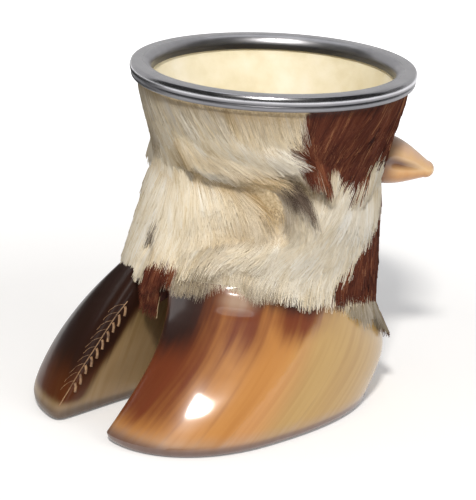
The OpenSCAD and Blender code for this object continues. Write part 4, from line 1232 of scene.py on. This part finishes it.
def cleft_tuft(name, end_y, outward, seed):
    """Hair that hangs from one end of the strip."""
    x, down = np.meshgrid(np.linspace(-WEB_HALF_W, WEB_HALF_W, TUFT_COLUMNS), np.linspace(0, 1, TUFT_ROWS))
    z = seat_z(0, end_y) - (CLEFT_SKIN_T + CLEFT_SKIN_DIP) * down
    points = np.stack([x, np.full_like(x, end_y), z], -1)
    lie = np.stack([TUFT_SPREAD * x, np.full_like(x, TUFT_OUT * outward), np.full_like(x, -1.0)], -1)
    even = {"long": TUFT_LENGTH, "slim": TUFT_SLIM, "cover": 1.0, "grey": 0.0, "white": 0.0, "stain_and_shade": 1.0}
    values = {
        "lie": lie / np.linalg.norm(lie, axis=-1, keepdims=True), "sweep": np.zeros_like(lie),
        "brown": mix(TUFT_BROWN_TOP, TUFT_BROWN_LOW, down),
        **{key: np.full_like(x, value) for key, value in even.items()},
    }
    faces = [face[::outward] for face in grid_faces(*x.shape, open_side=True)]
    surface = mesh_object("tuft_surface", points, faces, values)
    sizes = {**HAIR_SIZES, "Hairs per square metre": TUFT_HAIRS, "Seed": seed}
    return soften(grow(name, surface, hair, sizes))


keep(cleft_web(), "hide", "cleft_skin")
keep(cleft_tuft("coat_cleft_front", SEAT_FRONT - FIT, -1, 91), "hide")
keep(cleft_tuft("coat_cleft_back", SEAT_BACK + FIT, 1, 92), "hide")


# The dewclaws

DEWCLAW_SIDES, DEWCLAW_ROWS, DEWCLAW_TIP_ROWS = 72, 26, 8
CREASES, CREASE_D, CREASE_HALF, CREASE_SHADE_HALF, DEWCLAW_FULLER = (8, 172), 0.13, 15.0, 12.0, 0.1
DEWCLAW_TURNS = np.arange(DEWCLAW_SIDES) * 360 / DEWCLAW_SIDES


def dewclaw_ring(heading, along, inset=0.0, scale=1.0):
    """A ring round a dewclaw some way along it. Its first ring lies on the hide."""
    a = np.radians(DEWCLAW_TURNS)
    t, h, droop = along / DEWCLAW_L, math.radians(heading), math.radians(DEWCLAW_DROOP)
    root_z = np.array(DEWCLAW_Z)
    axis = np.array([math.cos(h) * math.cos(droop), math.sin(h) * math.cos(droop), -math.sin(droop)])
    side = np.array([-math.sin(h), math.cos(h), 0])
    taper, outside = share(t) ** DEWCLAW_TAPER, inset == 0
    scale = scale * (1 + DEWCLAW_FULLER * math.sin(math.pi * min(t, 1)) * outside)
    w, height = ((mix(root, DEWCLAW_TIP, taper) - inset) * scale for root in (DEWCLAW_ROOT_W, DEWCLAW_ROOT_H))
    if along == 0:
        spread = np.degrees(w * np.cos(a) / hide_radius(root_z))
        return hide_point(heading + spread, DEWCLAW_Z + height * np.sin(a), FIT)
    # A crease along each side, where the horn folded as it grew
    crease = sum(bell(angle_apart(DEWCLAW_TURNS, at) / CREASE_HALF) for at in CREASES)
    fold = CREASE_D * crease * smooth_step(0, 0.25, t) * smooth_step(1.05, 0.6, t) * outside
    middle = hide_point(heading, root_z) + axis * along
    up = np.cross(axis, side)
    return middle + np.outer(w * np.cos(a) * (1 - fold), side) + np.outer(height * np.sin(a), up)


def dewclaw_mesh(name, heading, material):
    """A hollow dewclaw with a round tip, and the places that its horn's colours read."""
    inside = [
        dewclaw_ring(heading, DEWCLAW_HOLLOW * t, DEWCLAW_T) for t in np.linspace(1, 0, DEWCLAW_ROWS // 3)
    ]
    body = [dewclaw_ring(heading, DEWCLAW_L * t) for t in np.linspace(0, 1, DEWCLAW_ROWS)]
    dome = [
        dewclaw_ring(heading, DEWCLAW_L + DEWCLAW_TIP * math.sin(b), 0.0, math.cos(b))
        for b in np.linspace(0, np.pi / 2, DEWCLAW_TIP_ROWS + 1)[1:-1]
    ]
    points = np.array(inside + body + dome)
    along = np.concatenate([np.zeros(len(inside)), np.linspace(0, 1, len(body) + len(dome))])
    level = np.ones((len(points), 1))
    values = {
        "rise": along[:, None] * np.ones(DEWCLAW_SIDES),
        "top": level * np.sin(np.radians(DEWCLAW_TURNS)),
        "crease": level * sum(spot(DEWCLAW_TURNS, at, CREASE_SHADE_HALF) for at in CREASES),
    }
    faces = grid_faces(len(points), DEWCLAW_SIDES) + end_caps(len(points), DEWCLAW_SIDES)
    return finish_mesh(mesh_object(name, points, faces, values), material)


def pale_horn():
    """The dewclaws' horn: tan, cleared to amber below, with painted light on top and painted shade below, at
    the root and in the crease.
    """
    made, add = new_material("polished_pale_horn")
    rise, top, fold = (
        add("ShaderNodeAttribute", attribute_name=name).outputs["Fac"] for name in ("rise", "top", "crease")
    )
    cloud = mottled(add, 3, 4.0)[0]
    # Painted light and shade: the upper side lighter and the underside darker
    level = add("ShaderNodeMath", (cloud, 0.8, top), operation="MULTIPLY_ADD")
    level = add("ShaderNodeMapRange", {"Value": level, "From Min": -0.8, "From Max": 1.3})
    tans = ((0.0, "#b8732f"), (0.35, "#c99050"), (0.7, "#cfaa78"), (1.0, "#c4a184"))
    tint = add("ShaderNodeValToRGB", {"Fac": level}, stops=tans)
    # Painted shade: darker at the root, against the hide
    root = add("ShaderNodeValToRGB", {"Fac": rise}, stops=((0.0, "#7a5c4c"), (0.3, "#ffffff")))
    darker = {"Factor": 0.8, "A": tint, "B": root}
    tint = add("ShaderNodeMix", darker, data_type="RGBA", blend_type="MULTIPLY")
    # Painted shade along the crease, fading towards the tip
    fade = add("ShaderNodeMapRange", {"Value": rise, "From Min": 0.75, "From Max": 0.3})
    fold = add("ShaderNodeMath", (fold, fade), operation="MULTIPLY")
    tint = add("ShaderNodeMix", {"Factor": fold, "A": tint, "B": "#5a3420"}, data_type="RGBA")
    coat = {"Coat Weight": 0.7, "Coat Roughness": 0.1}
    shade(add, {"Base Color": tint, "Roughness": 0.35, "IOR": 1.54, **coat})
    return made


dewclaw_horn = pale_horn()
for side, heading in DEWCLAW_HEADINGS.items():
    keep(dewclaw_mesh(f"{side}_dewclaw_horn", heading, dewclaw_horn), "dewclaw_horn", f"{side}_dewclaw")


# The pieces that stay inside keep their solids, with a plain finish each

def filler(name, low, high, size):
    """Packed or cast stuff inside the cup: dull, with a grain of the given size."""
    made, add = new_material(name)
    _, tint = mottled(add, size, 4.0, ((0.3, low), (0.7, high)))
    shade(add, {"Base Color": tint, "Roughness": 0.85})
    return made


cast_core = filler("cast_core", "#b09470", "#cdb48e", 2.0)
HIDDEN_FINISH = {
    "rim_bedding": filler("set_bedding", "#736d66", "#8f887e", 1.5),
    "packing": filler("pressed_packing", "#9f8158", "#c4a67c", 2.5),
    **{f"{side}_{part}_core": cast_core for side in ("right", "left") for part in ("claw", "dewclaw")},
}
for node, material in HIDDEN_FINISH.items():
    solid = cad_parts[node]
    solid.data.materials.clear()
    solid.data.materials.append(material)


# Floor, light and camera

PHOTO_W, PHOTO_H = 476, 500
RIM_PIXEL = (273.8, 62.0)
FOCAL_PIXELS = 1910.0
VIEW_AZIMUTH, VIEW_ELEVATION, VIEW_DISTANCE, VIEW_ROLL = 50.0, 13.0, 600.0, 2.4
SENSOR_MM = 36.0
AIM_STEPS = 40


def towards(azimuth, elevation):
    """A unit vector from the object. Azimuth 0 is towards -Y, and 90 is towards +X."""
    a, e = math.radians(azimuth), math.radians(elevation)
    return Vector((math.sin(a) * math.cos(e), -math.cos(a) * math.cos(e), math.sin(e)))


def make_camera():
    """The camera, turned until the middle of the rim lies on its pixel of the photograph."""
    camera = bpy.data.objects.new("camera", bpy.data.cameras.new("camera"))
    bpy.context.scene.collection.objects.link(camera)
    camera.data.sensor_width = SENSOR_MM
    camera.data.lens = FOCAL_PIXELS / max(PHOTO_W, PHOTO_H) * SENSOR_MM
    camera.data.clip_start, camera.data.clip_end = 0.01, 20.0
    rim_middle = Vector((CUP_AT[0], CUP_AT[1], CUP_H)) * MM
    place = rim_middle + towards(VIEW_AZIMUTH, VIEW_ELEVATION) * VIEW_DISTANCE * MM
    wanted = ((RIM_PIXEL[0] - PHOTO_W / 2) / FOCAL_PIXELS, (PHOTO_H / 2 - RIM_PIXEL[1]) / FOCAL_PIXELS)
    to_rim = rim_middle - place
    ahead = to_rim.normalized()
    for _ in range(AIM_STEPS):
        right = ahead.cross(Vector((0, 0, 1))).normalized()
        up = right.cross(ahead)
        roll = Matrix.Rotation(-math.radians(VIEW_ROLL), 3, ahead)
        right, up = roll @ right, roll @ up
        depth = to_rim.dot(ahead)
        off = (to_rim.dot(right) / depth - wanted[0], to_rim.dot(up) / depth - wanted[1])
        ahead = (ahead + right * off[0] + up * off[1]).normalized()
    turn = Matrix((right, up, -ahead)).transposed()
    camera.matrix_world = Matrix.Translation(place) @ turn.to_4x4()
    bpy.context.scene.camera = camera


# Soft boxes: a name, an azimuth, an elevation, a distance and two sides in metres, watts, a colour, and
# whether gloss shows it
LAMPS = (
    ("key", 45, 47, 1.5, (0.18, 0.13), 17.5, "#fffbf5", True),
    ("fill", 112, 24, 1.2, (0.7, 0.7), 3.0, "#ffffff", False),
)
WORLD_STRENGTH = 0.4


def lamp(name, azimuth, elevation, distance, sides, watts, colour, in_gloss):
    """An oblong soft box that looks at the middle of the cup."""
    made = bpy.data.objects.new(name, bpy.data.lights.new(name, "AREA"))
    bpy.context.scene.collection.objects.link(made)
    made.data.shape, (made.data.size, made.data.size_y) = "RECTANGLE", sides
    made.data.energy, made.data.color = watts, linear(colour)[:3]
    made.visible_glossy = in_gloss
    middle = Vector((0, 0, CUP_H * MM / 2))
    made.location = middle + towards(azimuth, elevation) * distance
    made.rotation_mode = "QUATERNION"
    made.rotation_quaternion = (made.location - middle).to_track_quat("Z", "Y")


def seen_directly(add):
    """1 for what the camera sees itself or in metal, gloss or glass, and 0 for light on the object."""
    path = add("ShaderNodeLightPath").outputs
    seen = path["Is Camera Ray"]
    for ray in ("Is Glossy Ray", "Is Transmission Ray"):
        seen = add("ShaderNodeMath", (seen, path[ray]), operation="ADD", use_clamp=True)
    return seen


def make_world():
    """Even light all round, which the camera, metal and gloss see as white."""
    world = bpy.data.worlds.new("studio")
    world.use_nodes = True
    bpy.context.scene.world = world
    world.node_tree.nodes.clear()
    add = partial(put, world.node_tree)
    level = add("ShaderNodeMapRange", {"Value": seen_directly(add), "To Min": WORLD_STRENGTH, "To Max": 1.0})
    light = add("ShaderNodeBackground", {"Color": "#fdfdff", "Strength": level})
    add("ShaderNodeOutputWorld", {"Surface": light})


# Curved cards round the object, which only the gloss of metal and horn sees: a name, a radius in metres,
# headings and elevations between which it reaches, and a colour
GLOSS_CARDS = (
    ("low_card", 1.4, (-10, 175), (-4, 24), "#151515"),
    ("high_card", 1.4, (-10, 150), (24, 80), "#151515"),
    ("side_card", 1.4, (-60, -10), (-4, 58), "#262626"),
    ("left_card", 0.18, (235, 325), (-16, 8), "#151515"),
    ("back_card", 1.4, (150, 300), (-4, 58), "#e6e6e6"),
)
CARD_COLUMNS = 40


def gloss_card(name, radius, headings, elevations, colour):
    a, e = np.meshgrid(np.radians(np.linspace(*headings, CARD_COLUMNS)), np.radians(elevations))
    r = radius / MM
    points = np.stack([r * np.sin(a), -r * np.cos(a), r * np.tan(e) + CUP_H / 2], -1)
    card = mesh_object(name, points, grid_faces(2, CARD_COLUMNS, open_side=True))
    made, add = new_material(name)
    shade(add, {"Base Color": colour, "Roughness": 0.9})
    card.data.materials.append(made)
    for ray in ("camera", "diffuse", "transmission", "shadow"):
        setattr(card, f"visible_{ray}", False)


# The floor's half width, and two distances from the cup in metres with how far its white is lifted there
FLOOR_HALF, LIFT_NEAR, LIFT_FAR = 3000.0, (0.12, 0.14), (0.5, 0.8)


def make_floor():
    """A pale seamless floor. What the camera sees of it is lifted to white, and the shadow stays."""
    corners = FLOOR_HALF * np.array([(-1, -1, 0), (1, -1, 0), (1, 1, 0), (-1, 1, 0)])
    floor = mesh_object("floor", corners, [[0, 1, 2, 3]])
    made, add = new_material("pale_floor")
    place = add("ShaderNodeTexCoord").outputs["Object"]
    far = add("ShaderNodeVectorMath", (place,), operation="LENGTH").outputs["Value"]
    reach = dict(zip(("From Min", "To Min", "From Max", "To Max"), LIFT_NEAR + LIFT_FAR))
    lift = add("ShaderNodeMapRange", {"Value": far, **reach})
    lift = add("ShaderNodeMath", (seen_directly(add), lift), operation="MULTIPLY")
    white = {"Emission Color": "#ffffff", "Emission Strength": lift}
    shade(add, {"Base Color": "#f4f4f4", "Roughness": 0.9, **white})
    floor.data.materials.append(made)


make_camera()
for soft_box in LAMPS:
    lamp(*soft_box)
make_world()
for card in GLOSS_CARDS:
    gloss_card(*card)
make_floor()
bpy.context.scene.view_settings.view_transform = "Standard"
